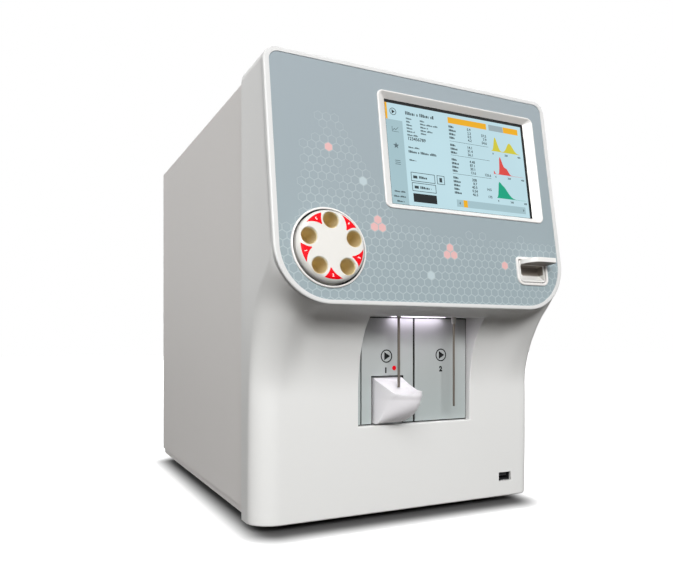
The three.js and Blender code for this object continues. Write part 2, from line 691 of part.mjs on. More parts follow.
// Screen surround: flat lip on the panel and four faces that slope down to the display
function screenSurround() {
  const front = -SURROUND_PROUD;
  const seat = OVERLAY_STEP + OVERLAY_THICKNESS;
  const back = PANEL_WALL;
  const lip = slab(screenShape(SURROUND_SIDE, SURROUND_END, SURROUND_RADIUS), front, seat, 0, 4);
  const neck = slab(screenNeck(0), seat - SEAT_GAP, back, 0, 1);
  const halfX = DISPLAY_WIDTH / 2;
  const halfZ = DISPLAY_HEIGHT / 2;
  const flareX = SURROUND_SIDE - SURROUND_EDGE;
  const flareZ = SURROUND_END - SURROUND_EDGE;
  const depth = back - front;
  const funnel = new THREE.BoxGeometry(2 * halfX, 3 * depth, 2 * halfZ);
  const spots = funnel.attributes.position;
  for (let i = 0; i < spots.count; i += 1) {
    const ahead = spots.getY(i) < 0;
    const grow = ahead ? 2 : -1;
    spots.setX(i, Math.sign(spots.getX(i)) * (halfX + grow * flareX));
    spots.setZ(i, Math.sign(spots.getZ(i)) * (halfZ + grow * flareZ));
    spots.setY(i, back + (ahead ? -2 : 1) * depth);
  }
  funnel.translate(SCREEN_X, 0, -SCREEN_DOWN);
  return carve(fuse(lip, neck), funnel, displayPiece(0, front, depth + OVERRUN));
}

place(panelFrame, 'screen_surround', screenSurround(), paleTrim);

// A block with the display's outline, grown by a margin
function displayPiece(grow, front, depth) {
  const halfX = DISPLAY_WIDTH / 2 + grow;
  const halfZ = DISPLAY_HEIGHT / 2 + grow;
  const foot = -SCREEN_DOWN - halfZ;
  return block(SCREEN_X - halfX, SCREEN_X + halfX, front, front + depth, foot, foot + 2 * halfZ);
}

const GLASS_FRONT = PANEL_WALL + SEAT_GAP;
const MODULE_FRONT = GLASS_FRONT + GLASS_THICKNESS + SEAT_GAP;
place(panelFrame, 'display_glass', displayPiece(GLASS_MARGIN, GLASS_FRONT, GLASS_THICKNESS), glassPanel);
place(panelFrame, 'display_module', displayPiece(MODULE_MARGIN, MODULE_FRONT, DISPLAY_DEPTH), blackPlastic);

// Trim ring round the mixer wheel: lip on the panel, collar through it
function wheelRing() {
  const inner = WHEEL_RADIUS + WHEEL_GAP;
  const collar = inner + RING_WALL;
  const seat = OVERLAY_STEP + OVERLAY_THICKNESS;
  return turnedY([
    [inner, -RING_PROUD],
    [collar, -RING_PROUD],
    [collar + RING_LIP, -RING_PROUD / 2],
    [collar + RING_LIP, seat],
    [collar, seat],
    [collar, PANEL_WALL + OVERRUN],
    [inner, PANEL_WALL + OVERRUN],
    [inner, -RING_PROUD],
  ], WHEEL_X, -WHEEL_DOWN, FINE_SIDES);
}

place(panelFrame, 'wheel_ring', wheelRing(), paleTrim);

// Mixer wheel: turned body with a rounded rim and five tube holes right through it
const WHEEL_BACK = WHEEL_DEPTH - TUBE_STOP - SEAT_GAP;

function mixerWheel() {
  const profile = [[0, -WHEEL_PROUD]];
  const edgeY = WHEEL_EDGE - WHEEL_PROUD;
  for (const arcShare of [0, ...QUARTER_ARC_SHARES]) {
    const turn = (1 - arcShare) * Math.PI / 2;
    profile.push([WHEEL_RADIUS - WHEEL_EDGE * (1 - Math.cos(turn)), edgeY - WHEEL_EDGE * Math.sin(turn)]);
  }
  profile.push([WHEEL_RADIUS, WHEEL_BACK], [0, WHEEL_BACK]);
  const cuts = [];
  for (let tube = 0; tube < TUBE_COUNT; tube += 1) {
    const turn = Math.PI / 2 + tube * 2 * Math.PI / TUBE_COUNT;
    const x = WHEEL_X + TUBE_PITCH_RADIUS * Math.cos(turn);
    const z = -WHEEL_DOWN + TUBE_PITCH_RADIUS * Math.sin(turn);
    cuts.push(rodY(TUBE_HOLE_RADIUS, x, z, -WHEEL_PROUD - OVERRUN, WHEEL_BACK + OVERRUN, TUBE_SIDES));
  }
  return carve(turnedY(profile, WHEEL_X, -WHEEL_DOWN, WHEEL_SIDES), ...cuts);
}

place(panelFrame, 'mixer_wheel', mixerWheel(), wheelPlastic);

// Wheel drive: shaft with the disc that closes the tube holes, bracket on four posts and gear motor
const BRACKET_FRONT = WHEEL_DEPTH + BRACKET_SPACING;
const BRACKET_BACK = BRACKET_FRONT + FRAME_SHEET;
const MOTOR_FRONT = BRACKET_BACK + SEAT_GAP;
const SHAFT_BACK = MOTOR_FRONT + MOTOR_GRIP - SEAT_GAP;
const mixerShaft = turnedY([
  [0, WHEEL_BACK + SEAT_GAP],
  [WHEEL_RADIUS, WHEEL_BACK + SEAT_GAP],
  [WHEEL_RADIUS, WHEEL_DEPTH],
  [WHEEL_SHAFT_RADIUS, WHEEL_DEPTH],
  [WHEEL_SHAFT_RADIUS, SHAFT_BACK],
  [0, SHAFT_BACK],
], WHEEL_X, -WHEEL_DOWN);
place(panelFrame, 'mixer_shaft', mixerShaft, steel);

function mixerBracket() {
  const ringOuter = WHEEL_RADIUS + WHEEL_GAP + RING_WALL;
  const postPitch = ringOuter + POST_RADIUS + RUN_GAP;
  const plate = rodY(postPitch + POST_RADIUS, WHEEL_X, -WHEEL_DOWN, BRACKET_FRONT, BRACKET_BACK, ROUND_SIDES);
  const posts = [];
  for (let post = 0; post < BRACKET_POSTS; post += 1) {
    const turn = post * 2 * Math.PI / BRACKET_POSTS;
    const x = WHEEL_X + postPitch * Math.cos(turn);
    const z = -WHEEL_DOWN + postPitch * Math.sin(turn);
    posts.push(rodY(POST_RADIUS, x, z, PANEL_WALL + SEAT_GAP, BRACKET_FRONT + FRAME_SHEET / 2));
  }
  const shaftRadius = WHEEL_SHAFT_RADIUS + RUN_GAP;
  const shaftHole = rodY(shaftRadius, WHEEL_X, -WHEEL_DOWN, BRACKET_FRONT - OVERRUN, BRACKET_BACK + OVERRUN);
  return carve(fuse(plate, ...posts), shaftHole);
}

place(panelFrame, 'mixer_bracket', mixerBracket(), zincSheet);
const motorBack = MOTOR_FRONT + MOTOR_LENGTH;
const motorBody = rodY(MOTOR_RADIUS, WHEEL_X, -WHEEL_DOWN, MOTOR_FRONT, motorBack, ROUND_SIDES);
const motorGrip = WHEEL_SHAFT_RADIUS + RUN_GAP / 2;
const motorBore = rodY(motorGrip, WHEEL_X, -WHEEL_DOWN, MOTOR_FRONT - OVERRUN, MOTOR_FRONT + MOTOR_GRIP);
place(panelFrame, 'mixer_motor', carve(motorBody, motorBore), steel);

// Drawer frame: lip on the panel and the sleeve that the drawer runs in
function drawerFrame() {
  const seat = OVERLAY_STEP + OVERLAY_THICKNESS;
  const lip = slab(drawerShape(RUN_GAP + DRAWER_FRAME_LIP), -RING_PROUD, seat, 0, 3);
  const sleeveShape = drawerShape(RUN_GAP + DRAWER_SLEEVE_WALL);
  const sleeve = slab(sleeveShape, seat - SEAT_GAP, DRAWER_LENGTH + OVERRUN, 0, 2);
  const run = slab(drawerShape(RUN_GAP), -OVERRUN, DRAWER_LENGTH + 2 * OVERRUN, 0, 2);
  return carve(fuse(lip, sleeve), run);
}

place(panelFrame, 'drawer_frame', drawerFrame(), paleTrim);

// Drawer: open tray behind a front that is scooped out under a swept lip
function adapterDrawer() {
  const top = -DRAWER_DOWN + DRAWER_HEIGHT / 2;
  const foot = -DRAWER_DOWN - DRAWER_HEIGHT / 2;
  const left = DRAWER_X - DRAWER_WIDTH / 2;
  const right = DRAWER_X + DRAWER_WIDTH / 2;
  const body = slab(drawerShape(0), 0, DRAWER_LENGTH, 0, 2);
  const lipFoot = top - DRAWER_LIP_HEIGHT;
  const scoopDrop = (lipFoot - foot) * SCOOP_FOOT_SHARE;
  const scoop = [[-OVERRUN, lipFoot]];
  for (const arcShare of SCOOP_SHARES) {
    scoop.push([DRAWER_SCOOP * Math.cos(arcShare * Math.PI / 2), lipFoot - scoopDrop * arcShare]);
  }
  scoop.push([-OVERRUN, lipFoot - scoopDrop]);
  const trayFront = DRAWER_SCOOP + DRAWER_WALL;
  const trayBack = DRAWER_LENGTH - DRAWER_WALL;
  const trayFoot = foot + DRAWER_WALL;
  const tray = block(left + DRAWER_WALL, right - DRAWER_WALL, trayFront, trayBack, trayFoot, top + OVERRUN);
  const lipLeft = left + DRAWER_WALL;
  const lipRight = right + DRAWER_LIP_OVERHANG;
  const lipPlan = [
    [lipLeft, DRAWER_WALL],
    ...LIP_PLAN_SHARES.map(([aside, ahead]) => [lipLeft + DRAWER_LIP * aside, -DRAWER_LIP * ahead]),
    [lipRight, -DRAWER_LIP],
    [lipRight, -DRAWER_LIP * LIP_RETURN_SHARE],
    [right, -RING_PROUD - RUN_GAP],
    [right, DRAWER_WALL],
  ];
  const lip = planSlab(lipPlan, lipFoot, top);
  const scoopCut = sideSlab(scoop, left + DRAWER_WALL, right - DRAWER_WALL);
  return toSolid(body).subtract(toSolid(scoopCut)).subtract(toSolid(tray)).add(toSolid(lip));
}

place(panelFrame, 'adapter_drawer', adapterDrawer(), paleTrim);

// Bay back plate that guides the two start plates
const PLATE_PINS = {
  left: [[BAY_LEFT + PLATE_EDGE, BAY_CEILING - PLATE_EDGE], [BAY_SEAM - PLATE_EDGE, BAY_FOOT + PLATE_EDGE]],
  right: [[BAY_SEAM + PLATE_EDGE, BAY_CEILING - PLATE_EDGE], [BAY_RIGHT - PLATE_EDGE, BAY_FOOT + PLATE_EDGE]],
};
const PLATE_MIDDLES = { left: (BAY_SEAM + CUP_RIGHT) / 2, right: (BAY_SEAM + BAY_RIGHT) / 2 };
const SWITCH_Z = (BAY_CEILING + CUP_TOP) / 2;

function bayBackPlate() {
  const front = BAY_BACK + SEAT_GAP;
  const back = front + FRAME_SHEET;
  const plate = block(BAY_LEFT - BAY_WALL, BAY_RIGHT + BAY_WALL, front, back, BAY_FOOT - BAY_WALL, BAY_TOP);
  const pushers = Object.values(PLATE_MIDDLES).map(x => [x, SWITCH_Z]);
  const holes = [...PLATE_PINS.left, ...PLATE_PINS.right, ...pushers].map(([x, z]) =>
    rodY(PLATE_PIN_RADIUS + SEAT_GAP, x, z, front - OVERRUN, back + OVERRUN));
  return carve(plate, ...holes);
}

place(assembly, 'bay_back_plate', bayBackPlate(), zincSheet);

// Start plates: flat faces on two guide pins and a short pin that works the switch
function startPlate(side, left, right) {
  const front = PLATE_FRONT;
  const plate = block(left, right, front, PLATE_BACK, BAY_FOOT + SEAT_GAP, BAY_CEILING - SEAT_GAP);
  const pinRoot = PLATE_BACK - PLATE_THICKNESS / 2;
  const pinBack = PLATE_BACK + PLATE_PIN_LENGTH;
  const pins = PLATE_PINS[side].map(([x, z]) => rodY(PLATE_PIN_RADIUS, x, z, pinRoot, pinBack));
  const pusherBack = BAY_BACK + SEAT_GAP + FRAME_SHEET - PLATE_TRAVEL;
  const pusher = rodY(PLATE_PIN_RADIUS, PLATE_MIDDLES[side], SWITCH_Z, pinRoot, pusherBack);
  const solid = fuse(plate, ...pins, pusher);
  if (side === 'right') {
    return solid;
  }
  const notch = block(
    CUP_LEFT - CUP_SIDE_GAP,
    CUP_RIGHT + CUP_SIDE_GAP,
    front - OVERRUN,
    PLATE_BACK + OVERRUN,
    BAY_FOOT - OVERRUN,
    CUP_TOP + CUP_SIDE_GAP,
  );
  return carve(solid, notch);
}

const startPlateLeft = startPlate('left', BAY_LEFT + SEAT_GAP, BAY_SEAM - SEAT_GAP);
const startPlateRight = startPlate('right', BAY_SEAM + SEAT_GAP, BAY_RIGHT - SEAT_GAP);
place(assembly, 'start_plate_left', startPlateLeft, platePaint);
place(assembly, 'start_plate_right', startPlateRight, platePaint);

const SWITCH_FRONT = BAY_BACK + 2 * SEAT_GAP + FRAME_SHEET;
for (const [side, x] of Object.entries(PLATE_MIDDLES)) {
  const halfX = SWITCH_WIDTH / 2;
  const halfZ = SWITCH_HEIGHT / 2;
  const switchBack = SWITCH_FRONT + SWITCH_DEPTH;
  const body = block(x - halfX, x + halfX, SWITCH_FRONT, switchBack, SWITCH_Z - halfZ, SWITCH_Z + halfZ);
  place(assembly, `start_switch_${side}`, body, blackPlastic);
}

// Drip cup: dished top with a pour spout, nose rounded back to its foot
function dripCup() {
  const back = BAY_BACK;
  const front = PLATE_FRONT - CUP_REACH;
  const lipZ = CUP_TOP - CUP_FALL;
  const side = [[back, CUP_FOOT], [back, CUP_TOP], [PLATE_FRONT, CUP_TOP], [front, lipZ]];
  for (const arcShare of CUP_NOSE_SHARES) {
    const turn = arcShare * Math.PI / 2;
    side.push([front + CUP_REACH * (1 - Math.cos(turn)), lipZ - (lipZ - CUP_FOOT) * Math.sin(turn)]);
  }
  const width = CUP_RIGHT - CUP_LEFT;
  const lean = ([x, ahead]) => [x, PLATE_FRONT - CUP_REACH * ahead];
  const plan = [
    [CUP_RIGHT, back],
    [CUP_LEFT, back],
    ...CUP_PLAN_SHARES.map(([across, ahead]) => [CUP_LEFT + width * across, ahead]).map(lean),
    ...CUP_SPOUT_SHARES.map(([aside, ahead]) => [CUP_RIGHT + CUP_SPOUT * aside, ahead]).map(lean),
  ];
  const profile = sideSlab(side.reverse(), CUP_LEFT - OVERRUN, CUP_RIGHT + CUP_SPOUT + OVERRUN);
  const column = planSlab(plan.reverse(), CUP_FOOT - OVERRUN, CUP_TOP + OVERRUN);
  const shares = CUP_DISH_SHARES;
  const dish = new THREE.SphereGeometry(1, ROUND_SIDES, SMALL_SIDES);
  dish.scale(width * shares.across, CUP_REACH * shares.along, CUP_DISH_DEPTH);
  dish.rotateX(Math.atan2(CUP_FALL, CUP_REACH));
  const dishX = (CUP_LEFT + CUP_RIGHT) / 2 + width * shares.aside;
  dish.translate(dishX, PLATE_FRONT - CUP_REACH / 2, CUP_TOP - CUP_FALL / 2);
  return toSolid(profile).intersect(toSolid(column)).subtract(toSolid(dish));
}

place(assembly, 'drip_cup', dripCup(), cupPlastic);

// Wash head on the bay's ceiling that a needle slides through
function washHead(x, neckLength, needleRadius) {
  const bore = needleRadius + SEAT_GAP;
  const seat = BAY_TOP + SEAT_GAP;
  return turnedZ([
    [bore, BAY_CEILING - neckLength],
    [WASH_NECK_RADIUS, BAY_CEILING - neckLength],
    [WASH_NECK_RADIUS, seat],
    [WASH_RADIUS, seat],
    [WASH_RADIUS, seat + WASH_HEIGHT],
    [bore, seat + WASH_HEIGHT],
    [bore, BAY_CEILING - neckLength],
  ], x, NEEDLE_Y, SMALL_SIDES);
}

// Needle lift: bracket with two shelves, a guide rod and a linear motor for each needle
const SHELF_FOOT = BAY_TOP + SEAT_GAP + WASH_HEIGHT + SEAT_GAP;
const CARRIAGE_FOOT = SHELF_FOOT + FRAME_SHEET + LIFT_MARGIN;
const CARRIAGE_TOP = CARRIAGE_FOOT + CARRIAGE_HEIGHT;
const SHELF_TOP = CARRIAGE_TOP + Math.max(SAMPLE_LIFT, DILUTE_LIFT) + LIFT_MARGIN;
const SCREW_Y = NEEDLE_Y + SCREW_SPACING;
const GUIDE_Y = SCREW_Y + GUIDE_SPACING;
const LIFT_BACK = GUIDE_Y + GUIDE_RADIUS + LIFT_MARGIN;
const LIFT_FRONT = SCREW_Y - LIFT_MOTOR_WIDTH / 2;
const MOTOR_SEAT = SHELF_TOP + FRAME_SHEET + SEAT_GAP;
const SCREW_TOP = MOTOR_SEAT + LIFT_MOTOR_HEIGHT + LIFT_MARGIN;
const LIFTS = [
  { name: 'sample', x: SAMPLE_X, tip: SAMPLE_TIP, radius: SAMPLE_RADIUS, neck: SAMPLE_NECK },
  { name: 'dilution', x: DILUTE_X, tip: DILUTE_TIP, radius: DILUTE_RADIUS, neck: DILUTE_NECK },
];

function liftBracket() {
  const left = SAMPLE_X - LIFT_MOTOR_WIDTH / 2 - LIFT_MARGIN;
  const right = DILUTE_X + LIFT_MOTOR_WIDTH / 2 + LIFT_MARGIN;
  const wall = block(left, right, LIFT_BACK, LIFT_BACK + FRAME_SHEET, SHELF_FOOT, SHELF_TOP + FRAME_SHEET);
  const shelves = [SHELF_FOOT, SHELF_TOP].map(z =>
    block(left, right, SCREW_Y, LIFT_BACK + FRAME_SHEET / 2, z, z + FRAME_SHEET));
  const legs = [left, right - LIFT_MARGIN].map(x =>
    block(x, x + LIFT_MARGIN, SCREW_Y, BAY_BACK, BAY_TOP + SEAT_GAP, SHELF_FOOT + FRAME_SHEET / 2));
  const holes = [];
  for (const lift of LIFTS) {
    for (const z of [SHELF_FOOT, SHELF_TOP]) {
      holes.push(rodZ(GUIDE_RADIUS + SEAT_GAP, lift.x, GUIDE_Y, z - OVERRUN, z + FRAME_SHEET + OVERRUN));
    }
    const screwHole = SCREW_RADIUS + RUN_GAP;
    holes.push(rodZ(screwHole, lift.x, SCREW_Y, SHELF_TOP - OVERRUN, SHELF_TOP + FRAME_SHEET + OVERRUN));
  }
  return carve(fuse(wall, ...shelves, ...legs), ...holes);
}

place(assembly, 'lift_bracket', liftBracket(), zincSheet);

function liftCarriage(lift) {
  const half = CARRIAGE_WIDTH / 2;
  const back = GUIDE_Y + GUIDE_RADIUS + LIFT_MARGIN - RUN_GAP;
  const front = NEEDLE_Y - CARRIAGE_NOSE;
  const arm = block(lift.x - half, lift.x + half, front, back, CARRIAGE_FOOT, CARRIAGE_TOP);
  const screw = rodZ(SCREW_RADIUS, lift.x, SCREW_Y, CARRIAGE_TOP - CARRIAGE_HEIGHT / 2, SCREW_TOP);
  const cutFoot = CARRIAGE_FOOT - OVERRUN;
  const cutTop = CARRIAGE_TOP + OVERRUN;
  const guideHole = rodZ(GUIDE_RADIUS + RUN_GAP / 2, lift.x, GUIDE_Y, cutFoot, cutTop);
  const needleHole = rodZ(lift.radius + SEAT_GAP, lift.x, NEEDLE_Y, cutFoot, cutTop);
  return carve(fuse(arm, screw), guideHole, needleHole);
}

function needle(lift) {
  const bore = lift.radius * NEEDLE_BORE;
  const top = CARRIAGE_TOP + LIFT_MARGIN;
  return turnedZ([
    [bore, lift.tip],
    [lift.radius, lift.tip],
    [lift.radius, top],
    [bore, top],
    [bore, lift.tip],
  ], lift.x, NEEDLE_Y, SMALL_SIDES);
}

for (const lift of LIFTS) {
  const half = LIFT_MOTOR_WIDTH / 2;
  const motorTop = MOTOR_SEAT + LIFT_MOTOR_HEIGHT;
  const motor = block(lift.x - half, lift.x + half, LIFT_FRONT, LIFT_FRONT + 2 * half, MOTOR_SEAT, motorTop);
  const motorBoreZ = rodZ(SCREW_RADIUS + SEAT_GAP, lift.x, SCREW_Y, MOTOR_SEAT - OVERRUN, motorTop + OVERRUN);
  const guideRod = rodZ(GUIDE_RADIUS, lift.x, GUIDE_Y, SHELF_FOOT, SHELF_TOP + FRAME_SHEET);
  place(assembly, `${lift.name}_wash_head`, washHead(lift.x, lift.neck, lift.radius), wheelPlastic);
  place(assembly, `${lift.name}_needle`, needle(lift), steel);
  place(assembly, `${lift.name}_carriage`, liftCarriage(lift), steel);
  place(assembly, `${lift.name}_guide_rod`, guideRod, steel);
  place(assembly, `${lift.name}_lift_motor`, carve(motor, motorBoreZ), blackPlastic);
}

// Light strip: lens in the ceiling's slot, flange on top of it
function lightStrip() {
  const left = (SAMPLE_X + DILUTE_X - LIGHT_LENGTH) / 2;
  const right = left + LIGHT_LENGTH;
  const front = NEEDLE_Y + LIGHT_BACKSET + SEAT_GAP;
  const seat = BAY_TOP + SEAT_GAP;
  const back = front + LIGHT_WIDTH;
  const edge = LIGHT_FLANGE;
  const lens = block(left, right, front, back, BAY_CEILING, seat + edge / 2);
  const flange = block(left - edge, right + edge, front - edge, back + edge, seat, seat + edge);
  return fuse(lens, flange);
}

place(assembly, 'bay_light', lightStrip(), lampLens);

// Socket on the lower front
function frontSocket() {
  const halfX = PORT_WIDTH / 2;
  const halfZ = PORT_HEIGHT / 2;
  const front = COLUMN_FRONT;
  const back = front + PORT_DEPTH;
  const body = block(PORT_X - halfX, PORT_X + halfX, front, back, PORT_Z - halfZ, PORT_Z + halfZ);
  const well = block(
    PORT_X - halfX + PORT_WALL,
    PORT_X + halfX - PORT_WALL,
    front - OVERRUN,
    back - OVERRUN,
    PORT_Z - halfZ + PORT_WALL,
    PORT_Z + halfZ - PORT_WALL,
  );
  return carve(body, well);
}

place(assembly, 'front_socket', frontSocket(), blackPlastic);

// Base pan: floor with a narrower nose inside the front shell and upturned sides
function basePan() {
  const nose = COVER_HALF - PAN_NOSE_SIDE;
  const noseFront = COLUMN_FRONT + SHELL_WALL + SEAT_GAP;
  const back = REAR_FRONT - SEAT_GAP;
  const floor = planSlab([
    [-nose, noseFront],
    [nose, noseFront],
    [nose, COVER_FRONT],
    [PAN_HALF, COVER_FRONT],
    [PAN_HALF, back],
    [-PAN_HALF, back],
    [-PAN_HALF, COVER_FRONT],
    [-nose, COVER_FRONT],
  ], PAN_FOOT, PAN_TOP);
  const sides = [-PAN_HALF, PAN_HALF - FRAME_SHEET].map(x =>
    block(x, x + FRAME_SHEET, COVER_FRONT, back, PAN_FOOT, PAN_TOP + PAN_FLANGE));
  return fuse(floor, ...sides);
}

place(assembly, 'base_pan', basePan(), greyPaint);

// Cover: one bent sheet over both sides and the top
function sheetCover() {
  const half = COVER_HALF;
  const innerHalf = half - SHEET;
  const innerRadius = COVER_RADIUS - SHEET;
  const foot = COVER_FOOT - COVER_RADIUS;
  const innerFoot = foot - COVER_RADIUS;
  const outer = roundedRect(-half, half, foot, COVER_TOP, innerRadius, COVER_RADIUS);
  const inner = roundedRect(-innerHalf, innerHalf, innerFoot, COVER_TOP - SHEET, innerRadius, innerRadius);
  const trim = block(-HALF, HALF, 0, COVER_BACK + OVERRUN, 0, COVER_FOOT);
  return carve(slab(outer, COVER_FRONT, COVER_BACK, 0, 3), slab(inner, 0, COVER_BACK + OVERRUN, 0, 3), trim);
}

place(assembly, 'sheet_cover', sheetCover(), greyPaint);

// Rear panel with its cut-outs and the fan's grille
function grilleCuts() {
  const cuts = [];
  const openRadius = FAN_SIZE / 2 - FAN_WALL - FAN_TIP_GAP;
  const pitch = (openRadius - FAN_HUB_RADIUS * GRILLE_CENTRE_SHARE) / GRILLE_RINGS;
  for (let ring = 0; ring < GRILLE_RINGS; ring += 1) {
    const inner = openRadius - (ring + 1) * pitch + GRILLE_BAR;
    const outer = openRadius - ring * pitch;
    for (let quarter = 0; quarter < 4; quarter += 1) {
      const start = quarter * Math.PI / 2 + GRILLE_BAR / inner;
      const end = (quarter + 1) * Math.PI / 2 - GRILLE_BAR / inner;
      const shape = new THREE.Shape();
      shape.absarc(FAN_X, FAN_Z, outer, start, end, false);
      shape.absarc(FAN_X, FAN_Z, inner, end, start, true);
      cuts.push(slab(shape, REAR_FRONT - OVERRUN, REAR_BACK + OVERRUN, 0, ARC_STEPS - ring));
    }
  }
  return cuts;
}

const COUPLINGS = Array.from({ length: COUPLING_COUNT }, (_, i) => COUPLING_X + i * COUPLING_SPACING);
const DATA_SOCKETS = Array.from({ length: DATA_COUNT }, (_, i) => DATA_X + i * DATA_SPACING);
const SENSORS = COUPLINGS.slice(0, 2);

function rearHole(x, z, width, height) {
  const halfX = width / 2 + SEAT_GAP;
  const halfZ = height / 2 + SEAT_GAP;
  return block(x - halfX, x + halfX, REAR_FRONT - OVERRUN, REAR_BACK + OVERRUN, z - halfZ, z + halfZ);
}

function rearPanel() {
  const top = COVER_TOP - SHEET - SEAT_GAP;
  const outline = roundedRect(-PAN_HALF, PAN_HALF, PAN_FOOT, top, SHEET, COVER_RADIUS);
  const plate = slab(outline, REAR_FRONT, REAR_BACK, 0, 3);
  const roundHole = (radius, x, z) => rodY(radius, x, z, REAR_FRONT - OVERRUN, REAR_BACK + OVERRUN);
  const rounds = COUPLINGS.map(x => roundHole(COUPLING_BARB + SEAT_GAP, x, COUPLING_Z));
  const sensors = SENSORS.map(x => roundHole(SENSOR_RADIUS - SENSOR_WALL, x, SENSOR_Z));
  const sockets = DATA_SOCKETS.map(x => rearHole(x, DATA_Z, DATA_WIDTH, DATA_HEIGHT));
  const walls = 2 * INLET_WALL;
  const switchHole = rearHole(INLET_X, ROCKER_Z, ROCKER_WIDTH + walls, ROCKER_HEIGHT + walls);
  const inletHole = rearHole(INLET_X, INLET_Z, INLET_WIDTH + walls, INLET_HEIGHT + walls);
  return carve(plate, ...grilleCuts(), ...rounds, ...sensors, ...sockets, switchHole, inletHole);
}

place(assembly, 'rear_panel', rearPanel(), greyPaint);

// Fan: square housing with a round throat, spokes to a motor cup, and a bladed rotor on an axle
const FAN_BACK = REAR_FRONT - SEAT_GAP;
const FAN_FRONT = FAN_BACK - FAN_DEPTH;

function fanHousing() {
  const half = FAN_SIZE / 2;
  const throat = half - FAN_WALL;
  const body = block(FAN_X - half, FAN_X + half, FAN_FRONT, FAN_BACK, FAN_Z - half, FAN_Z + half);
  const opening = rodY(throat, FAN_X, FAN_Z, FAN_FRONT - OVERRUN, FAN_BACK + OVERRUN, FINE_SIDES);
  const spokeBack = FAN_FRONT + 2 * FAN_WALL;
  const cup = rodY(FAN_HUB_RADIUS, FAN_X, FAN_Z, FAN_FRONT, spokeBack, ROUND_SIDES);
  const axle = rodY(FAN_AXLE_RADIUS, FAN_X, FAN_Z, FAN_FRONT + FAN_WALL, FAN_BACK - 2 * FAN_WALL);
  const spoke = (halfX, halfZ) =>
    block(FAN_X - halfX, FAN_X + halfX, FAN_FRONT, FAN_FRONT + FAN_WALL, FAN_Z - halfZ, FAN_Z + halfZ);
  const spokes = [spoke(half - FAN_WALL / 2, FAN_WALL), spoke(FAN_WALL, half - FAN_WALL / 2)];
  return carve(body, opening).add(fuse(cup, axle, ...spokes));
}

place(assembly, 'fan_housing', fanHousing(), blackPlastic);

function fanRotor() {
  const front = FAN_FRONT + 2 * FAN_WALL + RUN_GAP;
  const back = FAN_BACK - FAN_WALL;
  const hub = rodY(FAN_HUB_RADIUS, FAN_X, FAN_Z, front, back, ROUND_SIDES);
  const boreBack = FAN_BACK - 2 * FAN_WALL + RUN_GAP;
  const bore = rodY(FAN_AXLE_RADIUS + RUN_GAP / 2, FAN_X, FAN_Z, front - OVERRUN, boreBack);
  const tip = FAN_SIZE / 2 - FAN_WALL - FAN_TIP_GAP;
  const chord = (back - front) - 2 * FAN_TIP_GAP;
  const pieces = [hub];
  for (let blade = 0; blade < FAN_BLADES; blade += 1) {
    const vane = new THREE.BoxGeometry(tip - FAN_HUB_RADIUS + FAN_WALL, chord, FAN_BLADE_THICKNESS);
    vane.translate((tip + FAN_HUB_RADIUS - FAN_WALL) / 2, 0, 0);
    vane.rotateX(Math.PI / 4);
    vane.rotateY(blade * 2 * Math.PI / FAN_BLADES);
    vane.translate(FAN_X, (front + back) / 2, FAN_Z);
    pieces.push(vane);
  }
  const limit = rodY(tip, FAN_X, FAN_Z, front, back, FINE_SIDES);
  return carve(fuse(...pieces).intersect(toSolid(limit)), bore);
}

place(assembly, 'fan_rotor', fanRotor(), blackPlastic);

// Mains inlet: flanged housing with a deep well
function flangedHousing(z, width, height, well) {
  const halfX = width / 2 + INLET_WALL;
  const halfZ = height / 2 + INLET_WALL;
  const seat = REAR_BACK + SEAT_GAP;
  const face = seat + FRAME_SHEET;
  const part = (reachX, reachZ, front, back) =>
    block(INLET_X - reachX, INLET_X + reachX, front, back, z - reachZ, z + reachZ);
  const flange = part(halfX + INLET_FLANGE, halfZ, seat, face);
  const body = part(halfX, halfZ, seat - INLET_DEPTH, seat + FRAME_SHEET / 2);
  return carve(fuse(flange, body), part(width / 2, height / 2, face - well, face + OVERRUN));
}

const mainsInlet = flangedHousing(INLET_Z, INLET_WIDTH, INLET_HEIGHT, INLET_WELL);
place(assembly, 'mains_inlet', mainsInlet, blackPlastic);
const switchHousing = flangedHousing(ROCKER_Z, ROCKER_WIDTH, ROCKER_HEIGHT, 2 * ROCKER_DEPTH);
place(assembly, 'switch_housing', switchHousing, blackPlastic);

// Rocker with two shallow faces, drawn about its pivot and at rest in one of its two places
function powerRocker() {
  const half = ROCKER_HEIGHT / 2 - 2 * RUN_GAP;
  const halfX = ROCKER_WIDTH / 2 - RUN_GAP;
  const rise = half * Math.tan(ROCKER_BEND);
  const face = ROCKER_PIVOT;
  const profile = [
    [face - ROCKER_DEPTH, 0],
    [face - ROCKER_DEPTH / 2, half * ROCKER_WAIST_SHARE],
    [face + ROCKER_PROUD, half],
    [face + ROCKER_PROUD - rise, 0],
    [face + ROCKER_PROUD, -half],
    [face - ROCKER_DEPTH / 2, -half * ROCKER_WAIST_SHARE],
  ];
  return sideSlab(profile.reverse(), -halfX, halfX);
}

const rockerPivot = new THREE.Group();
rockerPivot.position.set(INLET_X, REAR_BACK + SEAT_GAP + FRAME_SHEET - ROCKER_PIVOT, ROCKER_Z);
rockerPivot.rotation.x = ROCKER_THROW;
assembly.add(rockerPivot);
place(rockerPivot, 'power_rocker', powerRocker(), blackPlastic);

